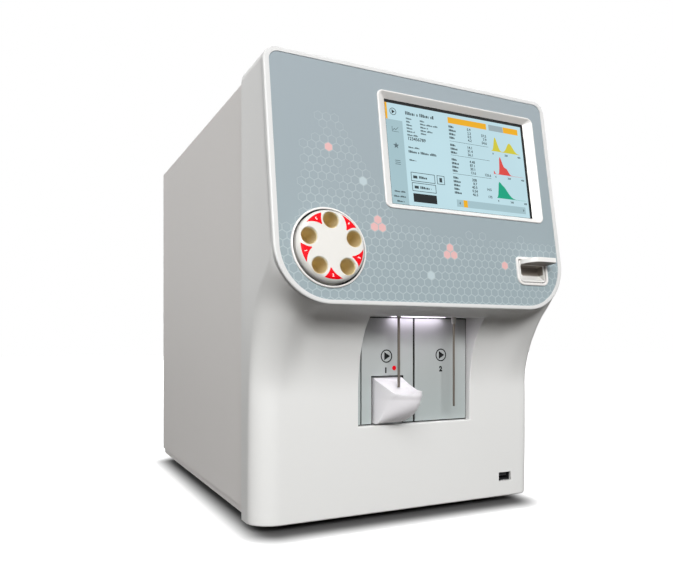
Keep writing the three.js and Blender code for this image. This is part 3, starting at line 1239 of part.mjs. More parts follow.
// Reagent couplings: hexagon nut and barbed nipple with an open bore
for (const [number, x] of COUPLINGS.entries()) {
  const seat = REAR_BACK + SEAT_GAP;
  const steps = COUPLING_STEP_SHARES;
  const nutBack = seat + COUPLING_LENGTH * steps.nut;
  const firstBarb = seat + COUPLING_LENGTH * steps.firstBarb;
  const lastBarb = seat + COUPLING_LENGTH * steps.lastBarb;
  const nose = seat + COUPLING_LENGTH;
  const waist = COUPLING_BARB * COUPLING_WAIST_SHARE;
  const profile = [
    [COUPLING_BORE, REAR_FRONT - COUPLING_RADIUS],
    [COUPLING_BARB, REAR_FRONT - COUPLING_RADIUS],
    [COUPLING_BARB, seat],
    [COUPLING_RADIUS, seat],
    [COUPLING_RADIUS, nutBack],
    [waist, nutBack],
    [waist, firstBarb],
    [COUPLING_BARB, firstBarb],
    [waist, lastBarb],
    [COUPLING_BARB, lastBarb],
    [COUPLING_BARB * COUPLING_NOSE_SHARE, nose],
    [COUPLING_BORE, nose],
    [COUPLING_BORE, REAR_FRONT - COUPLING_RADIUS],
  ];
  place(assembly, `reagent_coupling_${number + 1}`, turnedY(profile, x, COUPLING_Z, SMALL_SIDES), paleTrim);
}

// Level sensor sockets: round collars with an open well
for (const [number, x] of SENSORS.entries()) {
  const seat = REAR_BACK + SEAT_GAP;
  const profile = [
    [0, seat],
    [SENSOR_RADIUS, seat],
    [SENSOR_RADIUS, seat + SENSOR_PROUD],
    [SENSOR_RADIUS - SENSOR_WALL, seat + SENSOR_PROUD],
    [SENSOR_RADIUS - SENSOR_WALL, seat + SENSOR_WALL],
    [0, seat + SENSOR_WALL],
  ];
  place(assembly, `sensor_socket_${number + 1}`, turnedY(profile, x, SENSOR_Z, ROUND_SIDES), steel);
}

// Data sockets: open boxes behind the rear panel
for (const [number, x] of DATA_SOCKETS.entries()) {
  const halfX = DATA_WIDTH / 2;
  const halfZ = DATA_HEIGHT / 2;
  const body = block(x - halfX, x + halfX, REAR_BACK - DATA_DEPTH, REAR_BACK, DATA_Z - halfZ, DATA_Z + halfZ);
  const well = block(
    x - halfX + PORT_WALL,
    x + halfX - PORT_WALL,
    REAR_BACK - DATA_DEPTH + OVERRUN,
    REAR_BACK + OVERRUN,
    DATA_Z - halfZ + PORT_WALL,
    DATA_Z + halfZ - PORT_WALL,
  );
  place(assembly, `data_socket_${number + 1}`, carve(body, well), steel);
}

// Rubber feet under the base pan
const feet = [
  ['front_left', -1, FOOT_FRONT],
  ['front_right', 1, FOOT_FRONT],
  ['rear_left', -1, COVER_BACK - FOOT_REAR_INSET],
  ['rear_right', 1, COVER_BACK - FOOT_REAR_INSET],
];
for (const [name, side, y] of feet) {
  const top = PAN_FOOT - SEAT_GAP;
  const x = side * (HALF - FOOT_INSET - FOOT_RADIUS);
  const foot = FOOT_RADIUS - FOOT_CHAMFER;
  const profile = [[0, 0], [foot, 0], [FOOT_RADIUS, FOOT_CHAMFER_RISE], [FOOT_RADIUS, top], [0, top]];
  place(assembly, `foot_${name}`, turnedZ(profile, x, y, ROUND_SIDES), rubber);
}

// Inner modules on the base pan
function moduleBlock([width, length, height], x, y) {
  const halfX = width / 2;
  const halfY = length / 2;
  return block(x - halfX, x + halfX, y - halfY, y + halfY, MODULE_FOOT, MODULE_FOOT + height);
}

const pumpX = -PAN_HALF + FRAME_SHEET + MODULE_LEG + PUMP_SIZE[0] / 2;
const supplyX = PAN_HALF - FRAME_SHEET - MODULE_LEG - SUPPLY_SIZE[0] / 2;
const moduleBack = REAR_FRONT - 3 * INLET_DEPTH;
const supplyY = moduleBack - SUPPLY_SIZE[1] / 2;
place(assembly, 'power_supply', moduleBlock(SUPPLY_SIZE, supplyX, supplyY), zincSheet);
place(assembly, 'pump_unit', moduleBlock(PUMP_SIZE, pumpX, moduleBack - PUMP_SIZE[1] / 2), blackPlastic);
const measureY = COVER_FRONT + MODULE_LEG + MEASURE_SIZE[1] / 2;
place(assembly, 'measuring_unit', moduleBlock(MEASURE_SIZE, 0, measureY), zincSheet);
const boardX = PAN_HALF - FRAME_SHEET - SEAT_GAP - BOARD_SIZE[0] / 2;
place(assembly, 'main_board', moduleBlock(BOARD_SIZE, boardX, moduleBack - BOARD_SIZE[1] / 2), boardGreen);

// Bring the middle of the base to the origin
root.updateMatrixWorld(true);
const extent = new THREE.Box3().setFromObject(root);
assembly.position.y = -(extent.min.y + extent.max.y) / 2;

export default root;
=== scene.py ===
# %% [markdown]
# # A benchtop blood cell analyser
# A moulded white front with a tilted head carries a printed panel, a screen, a mixer wheel for five tubes
# and a small drawer. Below the head is a lit bay with two needles, two start plates and a drip cup.
# A sheet steel cover closes the body. The CAD model gives every size and place, and this script dresses it
# with finer shapes and finished materials. Lengths are millimetres until a piece is set in place.

# %% Load the CAD frame
import math

import bmesh
import bpy
from mathutils import Matrix, Vector


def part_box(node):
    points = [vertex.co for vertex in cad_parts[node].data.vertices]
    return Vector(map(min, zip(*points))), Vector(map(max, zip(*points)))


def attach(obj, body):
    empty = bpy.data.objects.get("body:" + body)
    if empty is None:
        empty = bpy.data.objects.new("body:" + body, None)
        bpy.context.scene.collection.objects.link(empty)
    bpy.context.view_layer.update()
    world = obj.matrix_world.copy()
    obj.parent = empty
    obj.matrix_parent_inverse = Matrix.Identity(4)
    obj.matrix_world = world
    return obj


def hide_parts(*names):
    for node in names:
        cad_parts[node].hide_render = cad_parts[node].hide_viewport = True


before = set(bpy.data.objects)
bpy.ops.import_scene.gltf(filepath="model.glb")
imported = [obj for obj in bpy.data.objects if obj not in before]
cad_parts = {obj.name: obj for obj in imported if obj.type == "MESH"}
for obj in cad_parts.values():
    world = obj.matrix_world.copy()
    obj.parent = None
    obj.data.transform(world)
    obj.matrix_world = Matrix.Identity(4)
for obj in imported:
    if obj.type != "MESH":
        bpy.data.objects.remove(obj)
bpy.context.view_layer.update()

# %% [markdown]
# The drawing frame is the one the part was drawn in: y = 0 at the panel's top edge. The panel has a frame of
# its own, tilted back, where x runs right, y runs into the panel and z is measured down from its top edge.
# Two matrices bring a shape from either frame to its place in metres, so each shape can use plain numbers.

# %% Frames and main sizes
MM = 0.001
HALF = 145.0
HEAD_TOP = 393.4
TILT = 0.1532
SLANT = 207.5
HEAD_FOOT = HEAD_TOP - SLANT * math.cos(TILT)
SHELL_FOOT, SHELL_BACK = 7.4, 53.0
COVER_END = 397.0
SHIFT = round(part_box("sheet_cover")[1].y / MM - COVER_END, 4)
UPRIGHT = Matrix.Scale(MM, 4) @ Matrix.Translation((0, SHIFT, 0))
PANEL = UPRIGHT @ Matrix.Translation((0, 0, HEAD_TOP)) @ Matrix.Rotation(-TILT, 4, "X")
print("shift", SHIFT, "head foot", round(HEAD_FOOT, 2))


def panel_y(z):
    """Depth of the panel's plane at a height, in the upright frame."""
    return -(HEAD_TOP - z) * math.tan(TILT)


# %% [markdown]
# ## Shader maths
# A material is a graph of small sums. Writing `a * 2 + b` is easier to read than a chain of nodes, so one
# small class wraps a socket and turns Python's operators into Math nodes. Every other node comes from one
# method, which takes its type, its settings and its values.

# %% Wires and paints
class Wire:
    """A socket that can stand in a sum."""

    def __init__(self, paint, socket):
        self.paint, self.socket = paint, socket

    def __add__(self, other):
        return self.paint.sum("ADD", self, other)

    def __sub__(self, other):
        return self.paint.sum("SUBTRACT", self, other)

    def __rsub__(self, other):
        return self.paint.sum("SUBTRACT", other, self)

    def __mul__(self, other):
        return self.paint.sum("MULTIPLY", self, other)

    __radd__, __rmul__ = __add__, __mul__


def colour(red, green, blue):
    """A colour as it is read off a screen, 0 to 255, as linear light."""
    def linear(value):
        value /= 255
        return value / 12.92 if value <= 0.04045 else ((value + 0.055) / 1.055) ** 2.4
    return (linear(red), linear(green), linear(blue), 1.0)


def scaled(base, factor, lift=0.0):
    """A colour made darker or brighter."""
    return tuple(min(c * factor + lift, 1.0) for c in base[:3]) + (1.0,)


class Graph:
    """A node tree, to which one method adds every kind of node."""

    def __init__(self, tree):
        self.tree = tree

    def node(self, kind, settings=None, values=None):
        made = self.tree.nodes.new(kind)
        for name, value in (settings or {}).items():
            setattr(made, name, value)
        for name, value in (values or {}).items():
            value = value.socket if isinstance(value, Wire) else value
            if isinstance(value, bpy.types.NodeSocket):
                self.tree.links.new(value, made.inputs[name])
            else:
                made.inputs[name].default_value = value
        return made

    def wire(self, output, kind, settings=None, values=None):
        """One output of a new node."""
        return Wire(self, self.node(kind, settings, values).outputs[output])

    def sum(self, operation, *terms):
        return self.wire(0, "ShaderNodeMath", {"operation": operation}, dict(enumerate(terms)))

    def step(self, value, low, high, start=0.0, end=1.0, course="SMOOTHSTEP"):
        """start below low, end above high, smooth between."""
        values = {"Value": value, "From Min": low, "From Max": high, "To Min": start, "To Max": end}
        return self.wire("Result", "ShaderNodeMapRange", {"interpolation_type": course}, values)

    def blend(self, share, first, second):
        """Mix of two colours."""
        return self.wire(2, "ShaderNodeMix", {"data_type": "RGBA"}, {"Factor": share, 6: first, 7: second})

    def finish(self, wire, output):
        """Links the whole shader to the tree's output."""
        self.tree.links.new(wire.socket, self.tree.nodes[output].inputs["Surface"])


class Paint(Graph):
    """A material and the slot it stands for. Constants are set on the surface shader's own sockets."""

    def __init__(self, name, base, roughness, slot=None, **constants):
        self.material = bpy.data.materials.new(name)
        self.material.use_nodes = True
        self.material.diffuse_color = base
        super().__init__(self.material.node_tree)
        self.surface = self.tree.nodes["Principled BSDF"]
        self.base, self.slot = base, slot or name
        for socket, value in dict(constants, Base_Color=base, Roughness=roughness).items():
            self.surface.inputs[socket.replace("_", " ")].default_value = value
        self.place = self.node("ShaderNodeTexCoord").outputs["Object"]

    def noise(self, scale, detail=2.0, stretch=None, place=None):
        """Smooth noise; scale is in patches a metre, stretch lengthens them along an axis."""
        place = self.place if place is None else place
        if stretch:
            place = self.wire("Vector", "ShaderNodeMapping", None, {"Vector": place, "Scale": stretch})
        return self.wire("Fac", "ShaderNodeTexNoise", None, {"Vector": place, "Scale": scale, "Detail": detail})

    def axes(self, vector=None):
        """The three numbers of a place."""
        split = self.node("ShaderNodeSeparateXYZ", None, {"Vector": self.place if vector is None else vector})
        return [Wire(self, split.outputs[axis]) for axis in "XYZ"]

    def feed(self, name, wire):
        self.tree.links.new(wire.socket, self.surface.inputs[name])

    def shade(self, share, darkest, lightest):
        """Colour between two brightnesses of the base."""
        return self.blend(share, scaled(self.base, darkest), scaled(self.base, lightest))

    def relief(self, height, reach, strength):
        """Bump of a height wire; reach is in metres."""
        self.feed("Normal", self.wire("Normal", "ShaderNodeBump", None,
                                      {"Height": height, "Distance": reach, "Strength": strength}))


# %% [markdown]
# ## Finishes
# Every finish has three layers: a slow drift of tone as on a large moulding or a sprayed sheet, a fine
# texture at the scale of the real one, and a slightly paler line on sharp edges, partly worn by handling
# and partly a painted highlight.

# %% Worn edges with a painted highlight, and the finishes
EDGE_START, EDGE_FULL = 0.505, 0.56


def finished(name, base, roughness, drift=(5, 0.97, 1.03), grain=(1600, 0.00004, 0.25), wear_and_highlight=0.04,
             spread=0.06, speckle=0.2, **constants):
    """Painted or moulded finish: drift of tone, grain relief, edges paled partly by handling and partly as a painted
    highlight, and uneven gloss.
    """
    paint = Paint(name, base, roughness, **constants)
    slow, fine = paint.noise(drift[0], 3.0), paint.noise(grain[0])
    plain = paint.shade(slow * (1 - speckle) + fine * speckle, drift[1], drift[2])
    # Paler sharp edges: partly worn by handling, partly a painted highlight.
    edge = paint.step(paint.wire("Pointiness", "ShaderNodeNewGeometry"), EDGE_START, EDGE_FULL)
    paint.feed("Base Color", paint.blend(edge * wear_and_highlight, plain, scaled(base, 1.12, 0.03)))
    paint.feed("Roughness", slow * spread + (roughness - spread / 2))
    paint.relief(fine, grain[1], grain[2])
    return paint


def brushed(name, base, roughness, stretch, fine=900, **constants):
    """Metal with fine parallel marks."""
    paint = Paint(name, base, roughness, Metallic=1.0, **constants)
    marks, patches = paint.noise(fine, 3.0, stretch), paint.noise(12)
    paint.feed("Base Color", paint.shade(marks * 0.6 + patches * 0.4, 0.86, 1.1))
    paint.feed("Roughness", marks * 0.12 + patches * 0.08 + (roughness - 0.1))
    paint.relief(marks, 0.00003, 0.3)
    return paint


SHELL = finished("shell_white", colour(229, 229, 227), 0.42, (4, 0.985, 1.01), (2600, 0.00003, 0.12))
# The rim is the shell's own white plastic; its darker colour is painted shade that keeps its lit face from burning out.
RIM = finished("rim_white_shaded", colour(215, 215, 214), 0.36, (4, 0.985, 1.01), (2600, 0.00003, 0.08), slot="shell_white")
COVER = finished("cover_powder", colour(231, 228, 225), 0.6, (3.5, 0.95, 1.03), (700, 0.00022, 0.5), wear_and_highlight=0.1,
                 speckle=0.35, slot="cover_grey")
TRIM = finished("trim_white", colour(235, 232, 229), 0.3, (9, 0.985, 1.01), (3000, 0.00002, 0.06))
WHEEL = finished("wheel_plastic", colour(225, 223, 218), 0.34, (14, 0.985, 1.01), (3200, 0.00002, 0.08),
                 slot="wheel_white")
CUP = finished("cup_plastic", colour(240, 238, 241), 0.32, (20, 0.98, 1.01), (2600, 0.00002, 0.08), slot="cup_white")
LINER = finished("tube_liner", colour(232, 214, 168), 0.5, (60, 0.93, 1.04), (2600, 0.00003, 0.1), slot="wheel_white")
RED = finished("mark_red", colour(236, 0, 22), 0.5, (60, 0.95, 1.04), (3000, 0.00001, 0.1), wear_and_highlight=0.0,
               slot="wheel_white", Specular_IOR_Level=0.15)
INK = finished("ink_black", colour(22, 22, 24), 0.5, (60, 0.8, 1.1), (3000, 0.00001, 0.1), wear_and_highlight=0.0,
               slot="plate_paint", Specular_IOR_Level=0.15)
WHITE_INK = finished("ink_white", colour(244, 244, 244), 0.45, (60, 0.97, 1.0), (3000, 0.00001, 0.1),
                     slot="wheel_white")
BLACK = finished("black_plastic", colour(34, 34, 36), 0.48, (30, 0.85, 1.15), (1800, 0.00005, 0.25))
RUBBER = finished("foot_rubber", colour(38, 38, 38), 0.85, (40, 0.8, 1.2), (1200, 0.0001, 0.4), slot="rubber")
STEEL = brushed("needle_steel", colour(188, 184, 178), 0.42, (1, 1, 0.05), slot="steel")
# The probes' steel is darker than the needle steel: partly their own duller steel, partly painted shade of the bay.
PROBE = brushed("probe_steel_shaded", colour(128, 120, 112), 0.4, (1, 1, 0.05), slot="steel")
ZINC = brushed("zinc_sheet", colour(183, 186, 187), 0.42, (0.05, 1, 1), fine=400)
BOARD = finished("board_green", colour(45, 106, 74), 0.5, drift=(50, 0.9, 1.1))

# %% [markdown]
# ## Shapes
# Most pieces here are one of three kinds: a stack of loops that follow the same outline at changing offsets,
# a profile spun about an axis, or an outline pushed back and bevelled. Each kind gets one helper.

# %% Outlines
def arc(x, z, radius, start, end, steps):
    """Points on an arc with both ends; start and end are in degrees."""
    turns = [math.radians(start + (end - start) * i / steps) for i in range(steps + 1)]
    return [(x + radius * math.cos(turn), z + radius * math.sin(turn)) for turn in turns]


def circle_at(x, z, radius, sides=40):
    return arc(x, z, radius, 0, 360, sides)[:-1]


def bent(a, b, pull, steps=8):
    """Points from a to b, without b, on an arc that is pulled aside."""
    return [tuple((1 - t) ** 2 * p + 2 * t * (1 - t) * q + t * t * r for p, q, r in zip(a, pull, b))
            for t in (i / steps for i in range(steps))]


def rounded_outline(x0, x1, z0, z1, foot_radius, top_radius, steps=10):
    """Points round a rectangle with rounded corners, counter-clockwise seen from the front."""
    return (arc(x1 - foot_radius, z0 + foot_radius, foot_radius, -90, 0, steps)
            + arc(x1 - top_radius, z1 - top_radius, top_radius, 0, 90, steps)
            + arc(x0 + top_radius, z1 - top_radius, top_radius, 90, 180, steps)
            + arc(x0 + foot_radius, z0 + foot_radius, foot_radius, 180, 270, steps))


def outline_around(x, z, half_x, half_z, radius, steps=10, top_radius=None):
    top = radius if top_radius is None else top_radius
    return rounded_outline(x - half_x, x + half_x, z - half_z, z + half_z, radius, top, steps)


def at_depth(outline, depth):
    return [(x, depth, z) for x, z in outline]


# %% Stacks, spins and blocks
def next_ring(bm, ring, points):
    """Extrudes a ring of vertices and moves each new one to its point."""
    edges = [bm.edges.get((a, b)) for a, b in zip(ring, ring[1:] + ring[:1])]
    made = bmesh.ops.extrude_edge_only(bm, edges=edges)["geom"]
    fresh = {v for v in made if isinstance(v, bmesh.types.BMVert)}
    twins = []
    for vertex, point in zip(ring, points):
        twins.append(next(e.other_vert(vertex) for e in vertex.link_edges if e.other_vert(vertex) in fresh))
        twins[-1].co = point
    return twins


def stacked(loops, closed=False):
    """Skin over loops of equally many points. It is capped at both ends, or closed to a ring."""
    bm = bmesh.new()
    first = list(bmesh.ops.create_circle(bm, segments=len(loops[0]), radius=1)["verts"])
    for vertex, point in zip(first, loops[0]):
        vertex.co = point
    ring = first
    for loop in loops[1:]:
        ring = next_ring(bm, ring, loop)
    ends = [[bm.edges.get((a, b)) for a, b in zip(r, r[1:] + r[:1])] for r in (first, ring)]
    if closed:
        bmesh.ops.bridge_loops(bm, edges=ends[0] + ends[1])
    else:
        for edges in ends:
            bmesh.ops.contextual_create(bm, geom=edges)
    bmesh.ops.recalc_face_normals(bm, faces=bm.faces)
    return bm


def banded(outer, inner, near, far):
    """Flat band between two outlines of equally many points."""
    return stacked([at_depth(outer, near), at_depth(outer, far), at_depth(inner, far), at_depth(inner, near)],
                   closed=True)


def rounded(bm, edges, width, segments):
    bmesh.ops.bevel(bm, geom=edges, offset=width, segments=segments, affect="EDGES", profile=0.5, material=-1,
                    clamp_overlap=True)


def slab(outline, front, back, round_edge=0.0):
    """Outline pushed back from front to back, with the front edge rounded."""
    bm = stacked([at_depth(outline, front), at_depth(outline, back)])
    if round_edge:
        rounded(bm, [e for e in bm.edges if all(abs(v.co.y - front) < 1e-4 for v in e.verts)], round_edge, 3)
    return bm


def turned(profile, x=0.0, y=0.0, z=0.0, axis="Y", steps=64):
    """Profile of (radius, along) points spun about the y or z axis through a point."""
    bm = bmesh.new()
    verts = [bm.verts.new((r, a, 0)) for r, a in profile]
    edges = [bm.edges.new(pair) for pair in zip(verts, verts[1:])]
    bmesh.ops.spin(bm, geom=verts + edges, cent=(0, 0, 0), axis=(0, 1, 0), dvec=(0, 0, 0),
                   angle=2 * math.pi, steps=steps, use_merge=True, use_duplicate=False)
    bmesh.ops.remove_doubles(bm, verts=bm.verts, dist=1e-4)
    bmesh.ops.recalc_face_normals(bm, faces=bm.faces)
    if axis == "Z":
        bmesh.ops.rotate(bm, verts=bm.verts, matrix=Matrix.Rotation(math.pi / 2, 3, "X"), cent=(0, 0, 0))
    bmesh.ops.translate(bm, verts=bm.verts, vec=(x, y, z))
    return bm


def box(x0, x1, y0, y1, z0, z1, round_edge=0.0):
    """A block between two corners, its edges rounded."""
    bm = bmesh.new()
    bmesh.ops.create_cube(bm, size=1)
    bmesh.ops.scale(bm, verts=bm.verts, vec=(x1 - x0, y1 - y0, z1 - z0))
    bmesh.ops.translate(bm, verts=bm.verts, vec=((x0 + x1) / 2, (y0 + y1) / 2, (z0 + z1) / 2))
    if round_edge:
        rounded(bm, list(bm.edges), round_edge, 2)
    return bm


# %% Joined, cut and rounded shapes
def merged(*parts):
    """Several builder meshes in one."""
    whole = bmesh.new()
    for part in parts:
        holder = bpy.data.meshes.new("part")
        part.to_mesh(holder)
        whole.from_mesh(holder)
        bpy.data.meshes.remove(holder)
        part.free()
    return whole


def held(bm, name):
    """A builder mesh as an object in the scene."""
    mesh = bpy.data.meshes.new(name)
    bm.to_mesh(mesh)
    bm.free()
    holder = bpy.data.objects.new(name, mesh)
    bpy.context.scene.collection.objects.link(holder)
    return holder


def discard(*holders):
    for holder in holders:
        mesh = holder.data
        bpy.data.objects.remove(holder)
        bpy.data.meshes.remove(mesh)


def settled(holder):
    """The object's mesh with its modifiers worked in; the object itself goes."""
    bm = bmesh.new()
    bm.from_object(holder, bpy.context.evaluated_depsgraph_get())
    discard(holder)
    return bm


def modified(holder, kind, **settings):
    """Adds a modifier with its settings."""
    modifier = holder.modifiers.new(kind.lower(), kind)
    for name, value in settings.items():
        setattr(modifier, name, value)
    return holder


def combined(base, cutters):
    """A builder mesh with others cut out of it, one after the other."""
    body, tools = held(base, "body"), [held(cutter, "cutter") for cutter in cutters]
    for tool in tools:
        modified(body, "BOOLEAN", operation="DIFFERENCE", solver="EXACT", object=tool)
    bm = settled(body)
    discard(*tools)
    return bm


def bevelled(bm, width, segments, angle):
    """Rounds every edge sharper than the angle."""
    return settled(modified(held(bm, "body"), "BEVEL", width=width, segments=segments, limit_method="ANGLE",
                            angle_limit=math.radians(angle)))


def piece(name, bm, matrix, paint, body="analyser", slot=None, replaces=(), smooth=40):
    """Sets a builder mesh in place as a finished piece of the object."""
    bm.transform(matrix)
    for face in bm.faces:
        face.smooth = True
    for edge in bm.edges:
        edge.smooth = len(edge.link_faces) == 2 and edge.calc_face_angle(0) <= math.radians(smooth)
    made = held(bm, name)
    made.data.materials.append(paint.material)
    modified(made, "WEIGHTED_NORMAL", keep_sharp=True)
    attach(made, body)
    if replaces:
        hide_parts(*replaces)
    return made


# %% [markdown]
# ## The moulded front
# The front is one injection moulding: a head that leans back, a concave undercut below it that melts into
# two flared corners, a straight lower front and rounded sides. A grid of points is the right start, because
# every point's depth follows from its place: the panel's plane, and where the distance from the flare's
# centre passes the corner's radius, a curve that runs from that plane into the undercut's quarter ellipse. The
# bay is cut into this skin, the walls are drawn back, and the whole gets a wall.

# %% Depth of the front at a place
COLUMN_FRONT = 19.0
UNDERCUT_START, UNDERCUT_DEPTH = 115.0, 38.0
UNDERSIDE_BACK = HEAD_FOOT - 0.9
CORNER, TOP_CORNER, EDGE_BAND = 46.0, 12.0, 12.0
BEHIND_PANEL = 2.4
FLARE_TOP, FLARE_FRONT = HEAD_FOOT + CORNER, -23.5
FLARE_WIDTH, MELT_WIDTH, FLARE_RUN = 26.0, 16.0, 4.0
FOOT_ROUND = 1.6
TOP_EDGE, TOP_EDGE_START, TOP_EDGE_FULL = 3.0, 226.0, 240.0
FLANK_HEAD = ((161, 29.9), (189.5, 22.3), (201, 12.4), (215, -6.3), (229, -21.8), (234, -24.5))
FLANK = {"left": ((8, 39), (27, 39), (86, 37.4), (128, 35.1)) + FLANK_HEAD,
         "right": ((8, 31), (60, 31.5), (115, 33.5), (128, 34)) + FLANK_HEAD}
EDGE_WIDTH = {"left": ((8, 24), (115, 24), (161, 27), (188, 25), (201, 19), (215, 9), (229, 4), (236, 3), (400, 3)),
              "right": ((8, 12), (60, 12), (115, 11.5), (158, 13), (180, 12), (189, 10), (201, 6.5), (215, 5),
                        (229, 4), (400, 3))}
EDGE_FULLNESS = {"left": ((8, 2), (400, 2)),
                 "right": ((8, 2.1), (60, 2.7), (115, 3), (128, 2.6), (158, 2.1), (180, 2.2), (189, 2.8),
                           (201, 4.4), (215, 3.2), (229, 2), (400, 2))}


def clamped(value):
    return min(max(value, 0.0), 1.0)


def smooth_step(value, low, high):
    share = clamped((value - low) / (high - low))
    return share * share * (3 - 2 * share)


def undercut_y(z):
    """Depth of the front below the head, in the middle: a quarter ellipse above a straight foot."""
    rise = clamped((z - UNDERCUT_START) / (UNDERSIDE_BACK - UNDERCUT_START))
    return COLUMN_FRONT - UNDERCUT_DEPTH * (1 - math.sqrt(1 - rise * rise))


def side_y(z):
    """Depth of the front at the side: one long curve from the column up to the panel's corner."""
    return FLARE_FRONT + (COLUMN_FRONT - FLARE_FRONT) * (1 - smooth_step(z, UNDERCUT_START, FLARE_TOP))


def read_table(table, z):
    """Value at a height, averaged over a few millimetres so that the steps melt."""
    def at(height):
        for (z0, v0), (z1, v1) in zip(table, table[1:]):
            if height <= z1:
                return v0 + (v1 - v0) * max(height - z0, 0.0) / (z1 - z0)
        return table[-1][1]
    return sum(at(z + shift) for shift in range(-6, 7, 2)) / 7


def side_distance(x, z):
    """How far a point lies inside the head's front outline."""
    into_x, into_z = abs(x) - (HALF - TOP_CORNER), z - (HEAD_TOP - TOP_CORNER)
    if into_x > 0 and into_z > 0:
        return TOP_CORNER - math.hypot(into_x, into_z)
    return min(HALF - abs(x), HEAD_TOP - z)


def moulded_y(x, z, head):
    """Depth before the side edge is rounded."""
    across, below = max(abs(x) - (HALF - CORNER), 0.0), max(FLARE_TOP - z, 0.0)
    share = smooth_step(across, 0.0, FLARE_WIDTH)
    base = undercut_y(min(z, UNDERSIDE_BACK)) * (1 - share) + side_y(z) * share
    outside = max(math.hypot(across, below) - CORNER, 0.0) if across and below else 0.0
    start = panel_y(z) + BEHIND_PANEL
    ramp = start + max(base - start, 0.0) * (1 - math.exp(-outside / FLARE_RUN))
    melt = 1.0 if head else smooth_step(across, 0.0, MELT_WIDTH)
    return base * (1 - melt) + ramp * melt


def edge_y(x, z, head):
    """Extra depth of the rounded side edge: a quarter of an oval that ends on the flank."""
    side = "left" if x < 0 else "right"
    width, power = read_table(EDGE_WIDTH[side], z), read_table(EDGE_FULLNESS[side], z)
    rise = smooth_step(z, TOP_EDGE_START, TOP_EDGE_FULL)
    depth = (read_table(FLANK[side], z) - moulded_y(HALF, z, head)) * (1 - rise) + TOP_EDGE * rise
    share = clamped((width - max(side_distance(x, z), 0.0)) / width)
    return max(depth, TOP_EDGE) * (1 - max(1 - share ** power, 0.0) ** (1 / power))


def front_y(x, z, head):
    below = max(SHELL_FOOT + FOOT_ROUND - z, 0.0)
    foot = FOOT_ROUND - math.sqrt(max(FOOT_ROUND ** 2 - below ** 2, 0.0))
    return moulded_y(x, z, head) + edge_y(x, z, head) + foot


# %% Rows and columns of the skin
def spaced(start, end, count):
    return [start + (end - start) * i / count for i in range(count + 1)]


def quarter(count, first=0.0):
    """Turns from first, a share of a quarter turn, to a quarter turn."""
    return [math.pi / 2 * share for share in spaced(first, 1.0, count)]


def skin_rows():
    """Heights from the top down, each with a mark for the head."""
    head = [HEAD_TOP - TOP_CORNER * (1 - math.cos(turn)) for turn in quarter(8)]
    head += spaced(HEAD_TOP - TOP_CORNER, HEAD_FOOT + CORNER, 10)[1:]
    head += spaced(HEAD_FOOT + CORNER, HEAD_FOOT, 40)[1:]
    below = [UNDERCUT_START + (UNDERSIDE_BACK - UNDERCUT_START) * math.cos(turn) for turn in quarter(30, 0.02)]
    below += spaced(UNDERCUT_START, SHELL_FOOT + FOOT_ROUND, 16)[1:]
    below += [SHELL_FOOT + FOOT_ROUND * (1 - math.sin(turn)) for turn in quarter(4)[1:]]
    return [(z, True) for z in head] + [(z, False) for z in below]


def skin_columns():
    right = spaced(0, HALF - CORNER, 12) + spaced(HALF - CORNER, HALF - EDGE_BAND, 24)[1:]
    right += [HALF - EDGE_BAND * (1 - math.sin(turn)) for turn in quarter(16)[1:]]
    return [-x for x in reversed(right[1:])] + right


def front_skin():
    rows, columns = skin_rows(), skin_columns()
    bm = bmesh.new()
    bmesh.ops.create_grid(bm, x_segments=len(columns) - 1, y_segments=len(rows) - 1, size=1)
    for vertex in bm.verts:
        column = columns[round((vertex.co.x + 1) / 2 * (len(columns) - 1))]
        z, head = rows[round((1 - vertex.co.y) / 2 * (len(rows) - 1))]
        over = max(z - HEAD_TOP + TOP_CORNER, 0.0)
        narrow = TOP_CORNER - math.sqrt(max(TOP_CORNER ** 2 - over ** 2, 0.0))
        stretch = max(abs(column) - (HALF - CORNER), 0.0) / CORNER
        x = column - math.copysign(narrow * stretch, column)
        vertex.co = (x, front_y(x, z, head), z)
    print("skin", len(rows), "rows", len(columns), "columns")
    return bm


# %% [markdown]
# The bay's opening is cut with four planes, so that its edge follows the curved skin exactly. Its edge is
# then drawn straight back to make the bay's walls, and rounded a little, as a moulding tool leaves it.

# %% Open the bay and draw the walls back
BAY_LEFT, BAY_RIGHT, BAY_FOOT, BAY_CEILING, BAY_BACK = -49.6, 70.9, 85.0, round(HEAD_FOOT - 6.3, 3), 29.0
WALL, BAY_EDGE = 2.4, 0.8


def drawn_back(bm, edges, depth):
    """Extrudes edges and moves the new ones to a depth."""
    made = bmesh.ops.extrude_edge_only(bm, edges=edges)["geom"]
    for vertex in (v for v in made if isinstance(v, bmesh.types.BMVert)):
        vertex.co.y = depth


def moulded_front():
    bm = front_skin()
    cuts = [((x, 0, 0), (1, 0, 0)) for x in (BAY_LEFT, BAY_RIGHT)]
    cuts += [((0, 0, z), (0, 0, 1)) for z in (BAY_FOOT, BAY_CEILING)]
    for point, normal in cuts:
        bmesh.ops.bisect_plane(bm, geom=list(bm.verts) + list(bm.edges) + list(bm.faces),
                               plane_co=point, plane_no=normal, dist=0.01)
    outer = [e for e in bm.edges if e.is_boundary]

    def in_bay(face):
        middle = face.calc_center_median()
        return BAY_LEFT < middle.x < BAY_RIGHT and BAY_FOOT < middle.z < BAY_CEILING
    bmesh.ops.delete(bm, geom=[f for f in bm.faces if in_bay(f)], context="FACES")
    bay = [e for e in bm.edges if e.is_boundary and e not in set(outer)]
    drawn_back(bm, bay, BAY_BACK)
    drawn_back(bm, outer, SHELL_BACK)
    rounded(bm, bay, BAY_EDGE, 3)
    bmesh.ops.recalc_face_normals(bm, faces=bm.faces)
    if min(bm.faces, key=lambda f: f.calc_center_median().y).normal.y > 0:
        bmesh.ops.reverse_faces(bm, faces=bm.faces)
    return settled(modified(held(bm, "front"), "SOLIDIFY", thickness=WALL, offset=-1))


# %% [markdown]
# The panel's fittings need openings in the skin. Each is cut with a plain tool a little larger than the
# fitting, because a lip or a ring hides its edge.

